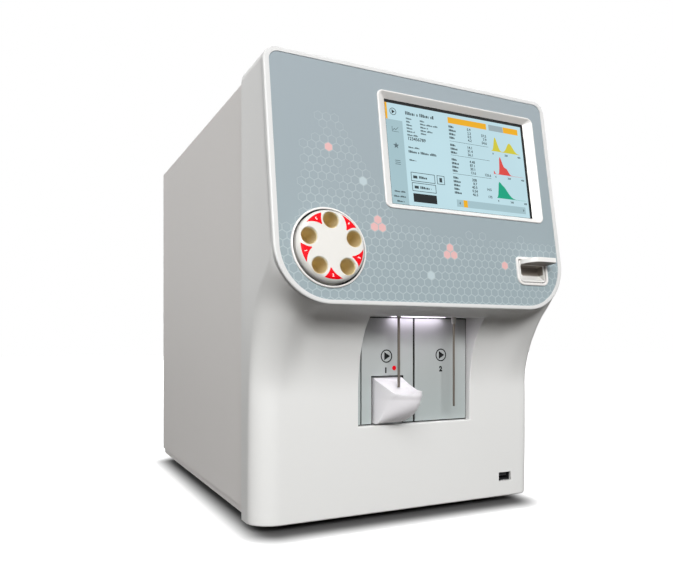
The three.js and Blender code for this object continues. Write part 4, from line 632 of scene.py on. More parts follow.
# %% Cut the openings and place the moulding
SCREEN_X, SCREEN_Z = 42.1, -71.7
DISPLAY_X, DISPLAY_Z = 77.0, 47.0
WHEEL_X, WHEEL_Z, WHEEL_R = -98.5, -162.0, 29.4
DRAWER_X, DRAWER_Z, DRAWER_W, DRAWER_H = 107.3, -171.4, 15.3, 10.3
SAMPLE_X, DILUTE_X, NEEDLE_Y = -17.0, 42.0, 5.0
PORT_X, PORT_Z = 114.0, 26.8


def rod(radius, low, high, *place, **options):
    """Plain round block between two depths."""
    return turned([(0, low), (radius, low), (radius, high), (0, high)], *place, **options)


def panel_tools(past_display, display_round, wheel_radius, past_drawer, drawer_rounds, front, back, steps=64):
    """Tools for the openings of screen, wheel and drawer, in the panel's frame."""
    display = outline_around(SCREEN_X, SCREEN_Z, DISPLAY_X + past_display[0], DISPLAY_Z + past_display[1],
                             display_round)
    drawer = outline_around(DRAWER_X, DRAWER_Z, DRAWER_W + past_drawer, DRAWER_H + past_drawer, drawer_rounds[0],
                            top_radius=drawer_rounds[1])
    return [slab(display, front, back), rod(wheel_radius, front, back, WHEEL_X, 0, WHEEL_Z, steps=steps),
            slab(drawer, front, back)]


openings = panel_tools((6.5, 3.6), 2, 31.9, 2.5, (6, 3), -3, 16)
for tool in openings:
    tool.transform(UPRIGHT.inverted() @ PANEL)
openings += [slab(outline_around(PORT_X, PORT_Z, 7.5, 4.2, 0.6), 10, 30),
             box(-15.6, 40.6, 14, 22.1, BAY_CEILING - 3, BAY_CEILING + 6)]
openings += [rod(2.6, BAY_CEILING - 4, BAY_CEILING + 6, x, NEEDLE_Y, axis="Z", steps=32)
             for x in (SAMPLE_X, DILUTE_X)]
front = combined(moulded_front(), openings)
print("moulded front faces", len(front.faces))
piece("moulded_front", front, UPRIGHT, SHELL, replaces=["front_shell"], smooth=32)

# %% [markdown]
# The raised rim round the panel is a band of even section. Loops of the same outline, each a little further
# in or back, make its flat face, its rounded outer edge and the small step down to the printed panel.

# %% The rim
RIM_SIDE, RIM_END, RIM_ROUND = 5.0, 3.8, 1.5


def rim_loop(share, inset, depth):
    """Outline at a share of the way from the rim's outer edge to its inner edge."""
    side, end = share * RIM_SIDE + inset, share * RIM_END + inset
    outline = rounded_outline(-HALF + side, HALF - side, HEAD_FOOT + end, HEAD_TOP - end, CORNER - side,
                              TOP_CORNER - end, 24)
    return [(x, panel_y(z) + depth, z) for x, z in outline]


rim_section = [(0, 0.3, 6.2), (0, 0, 5.9)]
rim_section += [(0, RIM_ROUND * (1 - math.cos(turn)), RIM_ROUND * (1 - math.sin(turn))) for turn in quarter(6)]
rim_section += [(0.55, 0, 0), (0.93, 0, 0), (0.975, 0, 0.08), (1, 0, 0.35), (1, 0, 2.6), (0.9, 0, 6.2)]
piece("panel_rim", stacked([rim_loop(*step) for step in rim_section], closed=True), UPRIGHT, RIM)

# %% [markdown]
# ## The printed panel
# The panel is a grey-blue film with a pale honeycomb print. The print follows the panel's own plane, so each
# vertex keeps its panel coordinates as a UV map before the panel is tilted. The honeycomb comes from two
# offset rectangular grids: the nearer grid centre is the cell's centre.

# %% Honeycomb print
PITCH = 7.35 * MM
CELL = Vector((PITCH, PITCH * math.sqrt(3)))
GRID_START = Vector((6.25 * MM, 4.5 * MM))
PRINT_FOOT, CLUMP = -0.144, 0.03
CLIMB = ((-0.03, -0.058, 0.052), (-0.06, -0.086, 0.044), (-0.094, -0.13, -0.024), (-0.112, -0.126, -0.07))


def cells_near(*places):
    """Centres of the cells nearest to places on the panel given in millimetres."""
    centres = set()
    for x, z in places:
        row = round((z * MM - GRID_START.y) / (CELL.y / 2))
        start = GRID_START.x + (CELL.x / 2 if row % 2 else 0.0)
        centres.add((start + round((x * MM - start) / CELL.x) * CELL.x, GRID_START.y + row * CELL.y / 2))
    return sorted(centres)


SALMON = cells_near((-94, -79), (-52.5, -137), (-56, -143.5), (-49, -143.5), (17, -153.5), (13.5, -160),
                    (20.5, -160), (77, -165))
PALE = cells_near((-64, -106), (-4, -180))
BARE = cells_near((-112, -62), (-105, -66), (-110, -70), (-97, -64), (-90, -60), (-86, -68), (-101, -58),
                  (-120, -78), (-78, -92), (-84, -98), (-30, -160), (-24, -156), (-22, -163), (-71, -128),
                  (-66, -134), (60, -150), (-128, -96), (-95, -108), (-88, -112), (38, -150))
print("accent cells", len(SALMON), len(PALE), "bare", len(BARE))


def wrapped(paint, value, size, offset):
    """Distance from the nearest line of a grid."""
    return paint.sum("FLOORED_MODULO", value + (size / 2 - offset), size) - size / 2


def in_cell(paint, u, v):
    """Place within the nearest cell, counted from its centre."""
    x0, y0 = GRID_START
    ax, ay = wrapped(paint, u, CELL.x, x0), wrapped(paint, v, CELL.y, y0)
    bx, by = wrapped(paint, u, CELL.x, x0 + CELL.x / 2), wrapped(paint, v, CELL.y, y0 + CELL.y / 2)
    first = paint.sum("LESS_THAN", ax * ax + ay * ay, bx * bx + by * by)
    return ax * first + bx * (1 - first), ay * first + by * (1 - first)


def near_cell(paint, cell_x, cell_y, cells):
    """1 inside the named cells, else 0."""
    def hit(x, y):
        off = paint.sum("ABSOLUTE", cell_x - x) + paint.sum("ABSOLUTE", cell_y - y)
        return paint.sum("LESS_THAN", off, PITCH * 0.3)
    return sum(hit(x, y) for x, y in cells)


def printed_film():
    paint = Paint("overlay_print", colour(166, 178, 183), 0.4, Specular_IOR_Level=0.35)
    u, v, _ = paint.axes(paint.node("ShaderNodeUVMap", {"uv_map": "panel"}).outputs["UV"])
    gx, gy = in_cell(paint, u, v)
    cell_x, cell_y = u - gx, v - gy
    flat, tall = paint.sum("ABSOLUTE", gx), paint.sum("ABSOLUTE", gy)
    reach = paint.sum("MAXIMUM", flat, flat * 0.5 + tall * (math.sqrt(3) / 2))
    line, inside = paint.step(reach, PITCH * 0.43, PITCH * 0.475), 1 - paint.step(reach, PITCH * 0.44, PITCH * 0.46)
    patches = paint.node("ShaderNodeCombineXYZ", None, {"X": cell_x, "Y": cell_y}).outputs["Vector"]
    climb = sum(paint.step(cell_x, start, end) * rise for start, end, rise in CLIMB) + PRINT_FOOT
    top = climb + paint.noise(38.0, 1.0, place=patches) * CLUMP - CLUMP / 2
    whole = paint.sum("LESS_THAN", cell_y, top) * (1 - near_cell(paint, cell_x, cell_y, BARE))
    fade = paint.step(v, -0.05, -0.19) * 0.16 + 0.22
    tone = paint.noise(5, 3.0)
    look = paint.blend(paint.step(v, -0.2, 0.0), colour(148, 162, 167), colour(150, 161, 167))
    look = paint.blend(tone * 0.12, look, colour(138, 151, 157))
    look = paint.blend(line * whole * fade, look, colour(200, 215, 216))
    for cells, share, accent in ((SALMON, 0.92, colour(224, 176, 173)), (PALE, 0.8, colour(188, 203, 207))):
        look = paint.blend(near_cell(paint, cell_x, cell_y, cells) * inside * share, look, accent)
    paint.feed("Base Color", look)
    paint.feed("Roughness", tone * 0.08 + 0.35)
    paint.relief(paint.noise(2200), 0.00002, 0.1)
    return paint


# %% The panel's film with its openings
film_outline = rounded_outline(-HALF + RIM_SIDE + 0.05, HALF - RIM_SIDE - 0.05, -SLANT + RIM_END + 0.05,
                               -RIM_END - 0.05, CORNER - RIM_SIDE, TOP_CORNER - RIM_END, 20)
film = combined(slab(film_outline, 0.6, 1.8),
                panel_tools((8.8, 5.3), 5.8, 32.2, 2.7, (6.5, 3.5), -2, 4, steps=96))
place_map = film.loops.layers.uv.new("panel")
for face in film.faces:
    for loop in face.loops:
        loop[place_map].uv = (loop.vert.co.x * MM, loop.vert.co.z * MM)
piece("printed_panel", film, PANEL, printed_film(), replaces=["panel_overlay"])

# %% [markdown]
# ## The screen
# A white surround with rounded outer corners slopes down to the display. Loops follow its section: outer
# edge, small rounding, narrow flat lip and the long slope inwards.

# %% Screen surround
SURROUND = ((8.6, 5.1, 5.6, 2.2), (9, 5.5, 6, 1.7), (9, 5.5, 6, 0.3), (8.8, 5.3, 5.8, -0.1), (8.4, 4.9, 5.4, -0.35),
            (8.0, 4.6, 5.0, -0.4), (7.5, 4.2, 4.6, -0.3), (6.9, 3.8, 4.2, 0.05), (0.5, 0.3, 0.7, 4.0),
            (0, 0, 0.4, 4.3), (1.6, 1.6, 1, 4.4), (6.8, 4.0, 4, 2.2))
surround = [at_depth(outline_around(SCREEN_X, SCREEN_Z, DISPLAY_X + wide, DISPLAY_Z + tall, radius, 12), depth)
            for wide, tall, radius, depth in SURROUND]
piece("screen_surround_trim", stacked(surround, closed=True), PANEL, TRIM, replaces=["screen_surround"])

# %% [markdown]
# The display shows a page of results. Its marks are very thin tiles just proud of the glass, one mesh for
# each colour, placed by shares of the display's width and height. Words are plain bars, and numbers are plain.

# %% Lit materials and tiles of the display
ACTIVE = {"left": -76.6, "right": 74.2, "top": 44.2, "foot": -46.6}
GLASS_Y, TILE = 4.55, 0.05
PAGE_LIGHT, PAGE_GLOSS = 0.95, 0.3


def lit(name, base):
    """A backlit colour under a smooth face, with the slow unevenness of a backlight."""
    paint = Paint(name, colour(12, 14, 15), PAGE_GLOSS, "display_glass", Emission_Strength=PAGE_LIGHT,
                  Specular_IOR_Level=0.12)
    paint.feed("Emission Color", paint.blend(paint.noise(14), scaled(base, 0.93), scaled(base, 1.05)))
    paint.feed("Roughness", paint.noise(300) * 0.06 + (PAGE_GLOSS - 0.03))
    return paint


def screen_place(u, v):
    return (SCREEN_X + ACTIVE["left"] + u * (ACTIVE["right"] - ACTIVE["left"]),
            SCREEN_Z + ACTIVE["top"] + v * (ACTIVE["foot"] - ACTIVE["top"]))


def tile(u0, u1, v0, v1, lift=2):
    """Thin tile between two corners given as shares; lift orders overlapping tiles."""
    (x0, z1), (x1, z0) = screen_place(u0, v0), screen_place(u1, v1)
    return box(x0, x1, GLASS_Y - lift * TILE, GLASS_Y - (lift - 1) * TILE, z0, z1)


def cut_tile(outline, lift=2):
    """Thin tile with any outline in millimetres."""
    return slab(outline, GLASS_Y - lift * TILE, GLASS_Y - (lift - 1) * TILE)


def shaped_tile(points, lift=2):
    """Thin tile with any outline of (u, v) shares."""
    return cut_tile([screen_place(u, v) for u, v in points], lift)


def frame_tile(u0, u1, v0, v1, line=0.0035, tall=0.0056):
    """Outlined button: four thin bars."""
    return merged(tile(u0, u1, v0, v0 + tall), tile(u0, u1, v1 - tall, v1), tile(u0, u0 + line, v0, v1),
                  tile(u1 - line, u1, v0, v1))


def numerals(text, size, x, z, align="LEFT", depth=0.02, spacing=1.0, bold=0.0):
    """Plain numbers as a thin mesh that faces the front, the first line's foot at (x, z)."""
    curve = bpy.data.curves.new("numerals", "FONT")
    curve.body, curve.size, curve.align_x = text, size, align
    curve.extrude, curve.space_line, curve.offset = depth, spacing, bold
    curve.resolution_u = 3
    holder = bpy.data.objects.new("numerals", curve)
    bpy.context.scene.collection.objects.link(holder)
    bpy.context.view_layer.update()
    mesh = bpy.data.meshes.new_from_object(holder.evaluated_get(bpy.context.evaluated_depsgraph_get()))
    bm = bmesh.new()
    bm.from_mesh(mesh)
    bpy.data.objects.remove(holder)
    bpy.data.curves.remove(curve)
    bpy.data.meshes.remove(mesh)
    bmesh.ops.remove_doubles(bm, verts=bm.verts, dist=size * 1e-4)
    bm.transform(Matrix.Translation((x, 0, z)) @ Matrix.Rotation(math.pi / 2, 4, "X"))
    return bm


def screen_numbers(text, size, u, v, align="LEFT", spacing=1.0):
    bm = numerals(text, size, *screen_place(u, v), align, TILE / 2, spacing, size * 0.022)
    bmesh.ops.translate(bm, verts=bm.verts, vec=(0, GLASS_Y - 1.5 * TILE, 0))
    return bm


def on_screen(name, paint, *tiles):
    """All marks of one colour as one piece."""
    piece(f"screen_{name}", merged(*tiles), PANEL, paint)


# %% Display face, black border and page
GLASS = finished("display_border", colour(14, 15, 16), 0.3, (30, 0.9, 1.2), (3000, 0.00001, 0.05),
                 slot="display_glass", Specular_IOR_Level=0.15)
glass_face = slab(outline_around(SCREEN_X, SCREEN_Z, DISPLAY_X + 3.9, DISPLAY_Z + 3.9, 1.5), 4.56, 6.3, 0.3)
piece("display_face", glass_face, PANEL, GLASS, replaces=["display_glass"])
on_screen("page", lit("page_cyan", colour(194, 226, 235)), tile(0, 1, 0, 1, 1))
on_screen("bars", lit("bar_teal", colour(166, 196, 204)), tile(0, 0.11, 0.166, 1), tile(0.444, 0.97, 0.889, 0.962))
on_screen("amber", lit("tab_amber", colour(243, 178, 10)), tile(0, 0.013, 0, 0.166, 3),
          tile(0.434, 0.723, 0.035, 0.098), tile(0.856, 0.973, 0.036, 0.1), tile(0.493, 0.522, 0.889, 0.962, 3))
on_screen("grey_tab", lit("tab_grey", colour(158, 176, 181)), tile(0.742, 0.854, 0.036, 0.1))

# %% Plots
PLOTS = (
    ("yellow", colour(214, 204, 54), ((0.16, 1.0, 0.07, 0.1), (0.66, 0.72, 0.14, 0.16)), 0.745, 0.969, 0.318, 0.15),
    ("red", colour(226, 74, 66), ((0.24, 0.95, 0.04, 0.1), (0.43, 0.34, 0.1, 0.09), (0.01, 0.16, 0.04, 0.03)),
     0.748, 0.98, 0.566, 0.2),
    ("green", colour(0, 166, 128), ((0.12, 0.9, 0.055, 0.16), (0.32, 0.38, 0.1, 0.17)), 0.753, 0.98, 0.821, 0.19),
)


def plot_outline(peaks, u0, u1, base, tall):
    """Outline of a histogram: a sum of bells over a base line."""
    points = [(u1, base), (u0, base)]
    for share in spaced(0, 1, 40):
        height = sum(h * math.exp(-((share - c) / (w1 if share < c else w2)) ** 2) for c, h, w1, w2 in peaks)
        points.append((u0 + (u1 - u0) * share, base - tall * height - 0.002))
    return points


for name, shade, *shape in PLOTS:
    on_screen(f"plot_{name}", lit(f"plot_{name}", shade), shaped_tile(plot_outline(*shape)))


# %% Rows of letter-like blocks
def lettering(left, right, v, half, lift=2, bold=1.0):
    """Stands in for a line of small type: blocks of uneven height and width, in words."""
    tiles, u, count = [], left, 0
    while u < right - 0.002:
        width = half * (0.42 + 0.3 * ((count * 7) % 5) / 4) * bold
        tall = (1.0, 0.66, 0.66, 0.9, 0.66, 1.0, 0.72)[(count * 5) % 7]
        tiles.append(tile(u, min(u + width, right), v + half * (1 - 2 * tall), v + half, lift))
        u += width + half * (0.22 if (count % 6) != 5 else 0.8)
        count += 1
    return tiles


# %% Page marks in dark ink
DARK = lit("page_ink", colour(52, 66, 70))
HEAD_LINES = ((0.129, 0.137, 0.175), (0.162, 0.137, 0.165), (0.195, 0.137, 0.178), (0.228, 0.137, 0.182),
              (0.26, 0.137, 0.19), (0.133, 0.232, 0.262), (0.165, 0.232, 0.356), (0.198, 0.232, 0.285),
              (0.231, 0.232, 0.318), (0.262, 0.232, 0.268))
SMALL_LINES = ((0.295, 0.137, 0.21), (0.42, 0.137, 0.212), (0.548, 0.137, 0.182))
FOOT_LINES = ((0.055, 0.877, 0.07), (0.055, 0.925, 0.084), (0.055, 0.972, 0.046))
marks = [block for v, left, right in HEAD_LINES for block in lettering(left, right, v, 0.0085)]
for left, right in ((0.135, 0.222), (0.233, 0.335)):
    marks += lettering(left, right, 0.074, 0.017, bold=0.8)
for v, left, right in SMALL_LINES:
    marks += lettering(left, right, v, 0.008)
for left, right in ((0.136, 0.21), (0.218, 0.327)):
    marks += lettering(left, right, 0.463, 0.0125)
for v in (0.286, 0.432, 0.623):
    marks.append(tile(0.434, 0.724, v - 0.0015, v + 0.0015))
for top, count in ((0.134, 4), (0.326, 3), (0.477, 4), (0.664, 5)):
    for i in range(count):
        marks += lettering(0.436, 0.472 + 0.008 * ((i * 2) % 3), top + i * 0.0385, 0.0115, bold=1.2)
marks += [frame_tile(*corners) for corners in ((0.138, 0.302, 0.667, 0.757), (0.316, 0.37, 0.667, 0.757),
                                              (0.14, 0.304, 0.77, 0.855))]
marks += [tile(0.152, 0.18, 0.7, 0.728), tile(0.156, 0.184, 0.8, 0.828), tile(0.333, 0.352, 0.69, 0.735)]
for left, right, v in ((0.192, 0.25, 0.712), (0.195, 0.27, 0.813)):
    marks += lettering(left, right, v, 0.0125, bold=1.2)
for u, v, width in FOOT_LINES:
    marks += lettering(u - width / 2, u + width / 2, v, 0.008, 3)
on_screen("marks", DARK, *marks)

VALUES = (("5.9\n2.3\n0.5\n4.2", 0.6, 0.146), ("37.5\n7.9\n54.6", 0.716, 0.186), ("14.1\n31.4\n36.1", 0.6, 0.339),
          ("4.48\n87.1\n39.1\n13.6", 0.608, 0.489), ("208\n8.7\n40.5\n0.24\n46.5", 0.608, 0.678))
SINGLES = (("125.6", 0.722, 0.604), ("14.5", 0.716, 0.756), ("175", 0.716, 0.834))
SCALES = ((0.357, (0.757, 0.86, 0.963)), (0.606, (0.76, 0.865, 0.973)), (0.861, (0.762, 0.868, 0.975)))
numbers = [screen_numbers("123456789", 4.2, 0.136, 0.346)]
numbers += [screen_numbers(text, 3.5, u, v, "RIGHT", 0.99) for text, u, v in VALUES]
numbers += [screen_numbers(text, 3.3, u, v, "RIGHT") for text, u, v in SINGLES]
numbers += [screen_numbers(text, 2.5, u, v, "CENTER") for v, row in SCALES for text, u in zip(("0", "200", "400"), row)]
on_screen("numbers", DARK, *numbers)

# %% Icons, buttons and scroll arrows
def star(u, v, outer=3.0, inner=1.3):
    x, z = screen_place(u, v)
    turns = [(inner if i % 2 else outer, math.pi / 2 + i * math.pi / 5) for i in range(10)]
    return cut_tile([(x + radius * math.cos(turn), z + radius * math.sin(turn)) for radius, turn in turns], 3)


ring_place = screen_place(0.052, 0.083)
on_screen("icons", lit("icon_black", colour(26, 32, 34)), tile(0.143, 0.303, 0.877, 0.962),
          banded(circle_at(*ring_place, 3.3, 32), circle_at(*ring_place, 2.8, 32), GLASS_Y - TILE, GLASS_Y - 2 * TILE),
          shaped_tile([(0.044, 0.062), (0.044, 0.104), (0.065, 0.083)]))
SOFT_SHAPES = (
    [(0.036, 0.235), (0.039, 0.235), (0.039, 0.282), (0.08, 0.282), (0.08, 0.286), (0.036, 0.286)],
    [(0.041, 0.27), (0.052, 0.25), (0.06, 0.262), (0.078, 0.235), (0.08, 0.239), (0.06, 0.27), (0.052, 0.258),
     (0.043, 0.275)],
    [(0.461, 0.925), (0.471, 0.91), (0.471, 0.94)],
    [(0.96, 0.925), (0.95, 0.94), (0.95, 0.91)],
)
on_screen("soft_icons", lit("icon_grey", colour(92, 112, 118)), star(0.055, 0.424),
          *[tile(0.04, 0.075, v - 0.003, v + 0.003, 3) for v in (0.572, 0.59, 0.608)],
          *[shaped_tile(points, 3) for points in SOFT_SHAPES])


# %% [markdown]
# ## The mixer wheel
# The wheel is a turned white body with a rounded edge. Its five tube holes are cut with a flared tool, which
# leaves a rounded mouth. Cream liners sit in the holes, and red marks with plain numbers lie between them.

# %% Ring and wheel
INNER, COLLAR = 30.9, 31.7
WHEEL_FRONT, WHEEL_ROUND, WHEEL_BACK = -6.2, 5.0, 18.8
HOLE_R, HOLE_PITCH, HOLES = 6.75, 20.4, 5


def on_wheel(radius, turn):
    return WHEEL_X + radius * math.cos(turn), WHEEL_Z + radius * math.sin(turn)


def wheel_turned(profile, steps):
    return turned(profile, WHEEL_X, 0, WHEEL_Z, steps=steps)


ring = [(INNER + 0.45, 6.2), (INNER + 0.45, 0), (INNER + 0.1, -0.1), (INNER, -0.5), (INNER + 0.25, -0.8),
        (COLLAR, -0.8), (COLLAR + 0.55, -0.55), (COLLAR + 0.8, -0.1), (COLLAR + 0.8, 1.8), (COLLAR, 1.9),
        (COLLAR, 6.2), (INNER + 0.45, 6.2)]
piece("wheel_trim_ring", wheel_turned(ring, 128), PANEL, TRIM, replaces=["wheel_ring"])
# A black ring behind the gap between wheel and trim ring, so that the gap is as dark as its shade: painted shade.
gap_shade = [(29.6, 3.4), (31.3, 2.4), (31.3, 5.9), (29.6, 5.9), (29.6, 3.4)]
piece("wheel_gap_shade", wheel_turned(gap_shade, 96), PANEL, BLACK, slot="rubber")

profile = [(0, WHEEL_FRONT), (WHEEL_R - WHEEL_ROUND - 0.1, WHEEL_FRONT)]
profile += [(WHEEL_R - WHEEL_ROUND * (1 - math.cos(turn)), WHEEL_FRONT + WHEEL_ROUND * (1 - math.sin(turn)))
            for turn in reversed(quarter(8))]
profile += [(WHEEL_R, WHEEL_BACK), (0, WHEEL_BACK)]
hole_places = [on_wheel(HOLE_PITCH, math.pi / 2 + i * 2 * math.pi / HOLES) for i in range(HOLES)]
mouth = [(0, WHEEL_FRONT - 2), (HOLE_R + 1.6, WHEEL_FRONT - 2), (HOLE_R + 0.9, WHEEL_FRONT - 0.01),
         (HOLE_R + 0.5, WHEEL_FRONT + 0.12), (HOLE_R + 0.15, WHEEL_FRONT + 0.45), (HOLE_R, WHEEL_FRONT + 0.95),
         (HOLE_R, WHEEL_BACK + 2), (0, WHEEL_BACK + 2)]
wheel = combined(wheel_turned(profile, 120), [turned(mouth, x, 0, z, steps=48) for x, z in hole_places])
piece("tube_wheel", wheel, PANEL, WHEEL, body="mixer", replaces=["mixer_wheel"], smooth=25)

liner = [(HOLE_R - 0.05, WHEEL_FRONT + 0.9), (HOLE_R - 0.05, 15.4), (0, 15.8), (0, 15.0), (HOLE_R - 2.2, 14.6),
         (HOLE_R - 0.9, 13.2), (HOLE_R - 0.5, 11.6), (HOLE_R - 0.45, WHEEL_FRONT + 1.3),
         (HOLE_R - 0.05, WHEEL_FRONT + 0.9)]
liners = merged(*[turned(liner, x, 0, z, steps=48) for x, z in hole_places])
piece("tube_liners", liners, PANEL, LINER, body="mixer")

# %% Red marks and their numbers
MARK_TIP, MARK_ARC, MARK_NECK = 18.2, 26.9, 0.03
MARK_SPREAD, MARK_LEAN = math.radians(17), math.radians(7)


def wheel_mark(turn):
    """Three-pointed mark between two holes: an arc outside, hollow sides inside, wrapped over the rounding."""
    bm = bmesh.new()
    bmesh.ops.create_grid(bm, x_segments=14, y_segments=12, size=1)
    for vertex in bm.verts:
        aside, out = vertex.co.x, (vertex.co.y + 1) / 2
        radius = MARK_TIP + (MARK_ARC - MARK_TIP) * out
        half = MARK_NECK + (MARK_SPREAD - MARK_NECK) * out ** 1.3
        x, z = on_wheel(radius, turn - MARK_LEAN * (1 - out) + aside * half)
        past = max(radius - (WHEEL_R - WHEEL_ROUND), 0.0)
        vertex.co = (x, WHEEL_FRONT + WHEEL_ROUND - math.sqrt(WHEEL_ROUND ** 2 - past ** 2) - 0.06, z)
    bmesh.ops.recalc_face_normals(bm, faces=bm.faces)
    if next(iter(bm.faces)).normal.y > 0:
        bmesh.ops.reverse_faces(bm, faces=bm.faces)
    bmesh.ops.solidify(bm, geom=bm.faces[:], thickness=0.05)
    bmesh.ops.recalc_face_normals(bm, faces=bm.faces)
    return bm


def wheel_number(number, turn):
    x, z = on_wheel(23.8, turn - 0.03)
    label = numerals(str(number), 3.2, 0, -1.2, "CENTER", bold=0.06)
    label.transform(Matrix.Translation((x, WHEEL_FRONT - 0.1, z)) @ Matrix.Rotation(-(turn + math.pi / 2), 4, "Y"))
    return label


mark_turns = [math.radians(a) for a in (196, -92, -20, 52, 124)]
piece("wheel_marks", merged(*[wheel_mark(turn) for turn in mark_turns]), PANEL, RED, body="mixer")
wheel_labels = [wheel_number(number, turn) for number, turn in enumerate(mark_turns, 1)]
piece("wheel_numbers", merged(*wheel_labels), PANEL, WHITE_INK, body="mixer")

# %% [markdown]
# ## The adapter drawer
# A frame with rounded lower corners, and inside it a small drawer whose front is scooped out below a lip
# that a finger pulls. The lip is a swept plan with a curved left end; the scoop is cut with a rounded tool.

# %% Drawer frame
FRAME_SECTION = ((0.5, 48), (0.5, -0.4), (0.8, -0.75), (1.3, -0.8), (2.4, -0.75), (2.8, -0.4), (2.9, 0.1),
                 (2.9, 1.8), (2.3, 1.9), (2.3, 48))
GAP_SECTION = ((-0.42, 2.6), (0.48, 2.2), (0.48, 5), (-0.42, 5))
TRAY_SECTION = ((-0.4, 46), (-0.4, 0.5), (-0.55, 0.15), (-0.9, 0))


def drawer_stack(section, closed=True):
    """Loops round the drawer, each grown by a width and set at a depth."""
    return stacked([at_depth(outline_around(DRAWER_X, DRAWER_Z, DRAWER_W + grow, DRAWER_H + grow, 4 + grow, 8,
                                            top_radius=1 + grow), depth) for grow, depth in section], closed)


piece("drawer_trim", drawer_stack(FRAME_SECTION), PANEL, TRIM, replaces=["drawer_frame"])
# A black band behind the gap round the drawer, so that the gap is as dark as its shade: painted shade.
piece("drawer_gap_shade", drawer_stack(GAP_SECTION), PANEL, RUBBER)

# %% Drawer with its lip
LIP_TOP, LIP_FOOT = DRAWER_Z + DRAWER_H, DRAWER_Z + DRAWER_H - 4.7
SCOOP_FOOT = DRAWER_Z - DRAWER_H + 1.5
SHADE_FOOT = LIP_FOOT - 0.56 * (LIP_FOOT - SCOOP_FOOT)
left, right = DRAWER_X - DRAWER_W, DRAWER_X + DRAWER_W
lip_plan = [(left + 1.8, 1.8), (left + 1.8, -1.8)]
lip_plan += bent((left + 1.8, -1.8), (left + 14, -13), (left + 5.2, -12.2), 12)[1:]
lip_plan += [(left + 14, -13), (right + 2.2, -13), (right + 3, -12.2), (right + 3, -6.2)]
lip_plan += bent((right + 3, -6.2), (right - 0.4, -1.2), (right + 2.6, -1.6), 6)[1:]
lip_plan += [(right - 0.4, -1.2), (right - 0.4, 1.8)]
lip = bevelled(stacked([[(x, y, z) for x, y in lip_plan] for z in (LIP_FOOT, LIP_TOP - 0.1)]), 0.5, 3, 50)
scoop_side = [(-3, LIP_FOOT), (7.6, LIP_FOOT), (8.2, LIP_FOOT - 0.8), (8.0, LIP_FOOT - 4)]
scoop_side += bent((8.0, LIP_FOOT - 4), (-0.4, SCOOP_FOOT), (7.0, SCOOP_FOOT + 3.2), 12)[1:]
scoop_side += [(-0.4, SCOOP_FOOT), (-3, SCOOP_FOOT)]
scoop = bevelled(stacked([[(x, y, z) for y, z in scoop_side] for x in (left + 1.6, right - 1.6)]), 1.0, 3, 60)
tray = box(left + 2.2, right - 2.2, 9.8, 44.2, DRAWER_Z - DRAWER_H + 2.2, DRAWER_Z + DRAWER_H + 3)
drawer = merged(combined(drawer_stack(TRAY_SECTION, closed=False), [scoop, tray]), lip)


def shaded_trim():
    """The trim's plastic, with the finger lip's shadow painted on the scoop below it and painted shade on the lip's
    underside.
    """
    paint = Paint("trim_lip_shadow", colour(232, 231, 228), 0.42, "trim_white")
    x, y, z = paint.axes()
    from_scene = PANEL.inverted()
    into, up = (y * row[1] + z * row[2] + row[3] for row in (from_scene[1], from_scene[2]))
    # Painted shadow of the finger lip: a brown-grey band on the scoop, behind its front and below the lip.
    deep = paint.step(into, 0.6, 1.6) * (1 - paint.step(into, 9.0, 9.4))
    under = paint.step(up, SHADE_FOOT - 0.9, SHADE_FOOT + 0.9)
    aside = paint.step(x * (1 / MM) + up * 0.75, left + 3 + LIP_FOOT * 0.75, left + 4.5 + LIP_FOOT * 0.75)
    # Painted shade on the lip's own underside.
    lip_underside_shade = (1 - paint.step(up, LIP_FOOT + 0.1, LIP_FOOT + 0.5)) * (1 - paint.step(into, -1.0, -0.5))
    slow = paint.noise(30)
    plain = paint.blend(slow * 0.3, colour(232, 231, 228), colour(224, 222, 218))
    lip_shadow_painted = paint.blend(deep * under * aside * 0.9, plain, colour(120, 108, 96))
    paint.feed("Base Color", paint.blend(lip_underside_shade * 0.9, lip_shadow_painted, colour(112, 100, 90)))
    paint.feed("Roughness", slow * 0.1 + 0.36)
    paint.relief(paint.noise(2600), 0.00002, 0.1)
    return paint


piece("drawer_tray", drawer, PANEL, shaded_trim(), body="adapter_drawer_body", replaces=["adapter_drawer"],
      smooth=30)


# %% [markdown]
# ## The sampling bay
# Two start plates close the back of the bay, with a printed sign on each. The cup stands in a notch of the
# left plate. Both needles hang from wash heads in the ceiling, beside a short light strip.

# %% Start plates
# The plates are inset by the width of a black band that paints the shade in the gaps round them.
SEAM, GAP_SHADE_BAND = 11.1, 0.85
PLATE_FRONT, PLATE_BACK, GAP_SHADE_FRONT, GAP_SHADE_BACK = 24.0, 26.5, 24.7, 26.3
CUP_LEFT, CUP_RIGHT, CUP_FOOT, CUP_TOP = -32.0, -2.0, 86.5, 127.0


def plate_paint():
    """Satin sheet: greyer above, cooler below."""
    paint = Paint("plate_satin", colour(184, 190, 189), 0.34, "plate_paint")
    rise, slow = paint.step(paint.axes()[2], 0.09, 0.18), paint.noise(10)
    mixed = paint.blend(rise, colour(174, 182, 181), colour(188, 190, 189))
    paint.feed("Base Color", paint.blend(slow * 0.2, mixed, colour(168, 176, 175)))
    paint.feed("Roughness", slow * 0.08 + 0.3)
    paint.relief(paint.noise(1500, 2.0, (1, 1, 0.2)), 0.00002, 0.12)
    return paint


PLATE = plate_paint()


def plate_outline(x0, x1, inset, notch=None):
    low, high = BAY_FOOT + 0.3 + inset, BAY_CEILING - 0.3 - inset
    outline = [(x0 + inset, low), (x1 - inset, low), (x1 - inset, high), (x0 + inset, high)]
    if notch:
        left, right, top = notch[0] - inset, notch[1] + inset, notch[2] + inset
        outline[1:1] = [(left, low), (left, top), (right, top), (right, low)]
    return outline


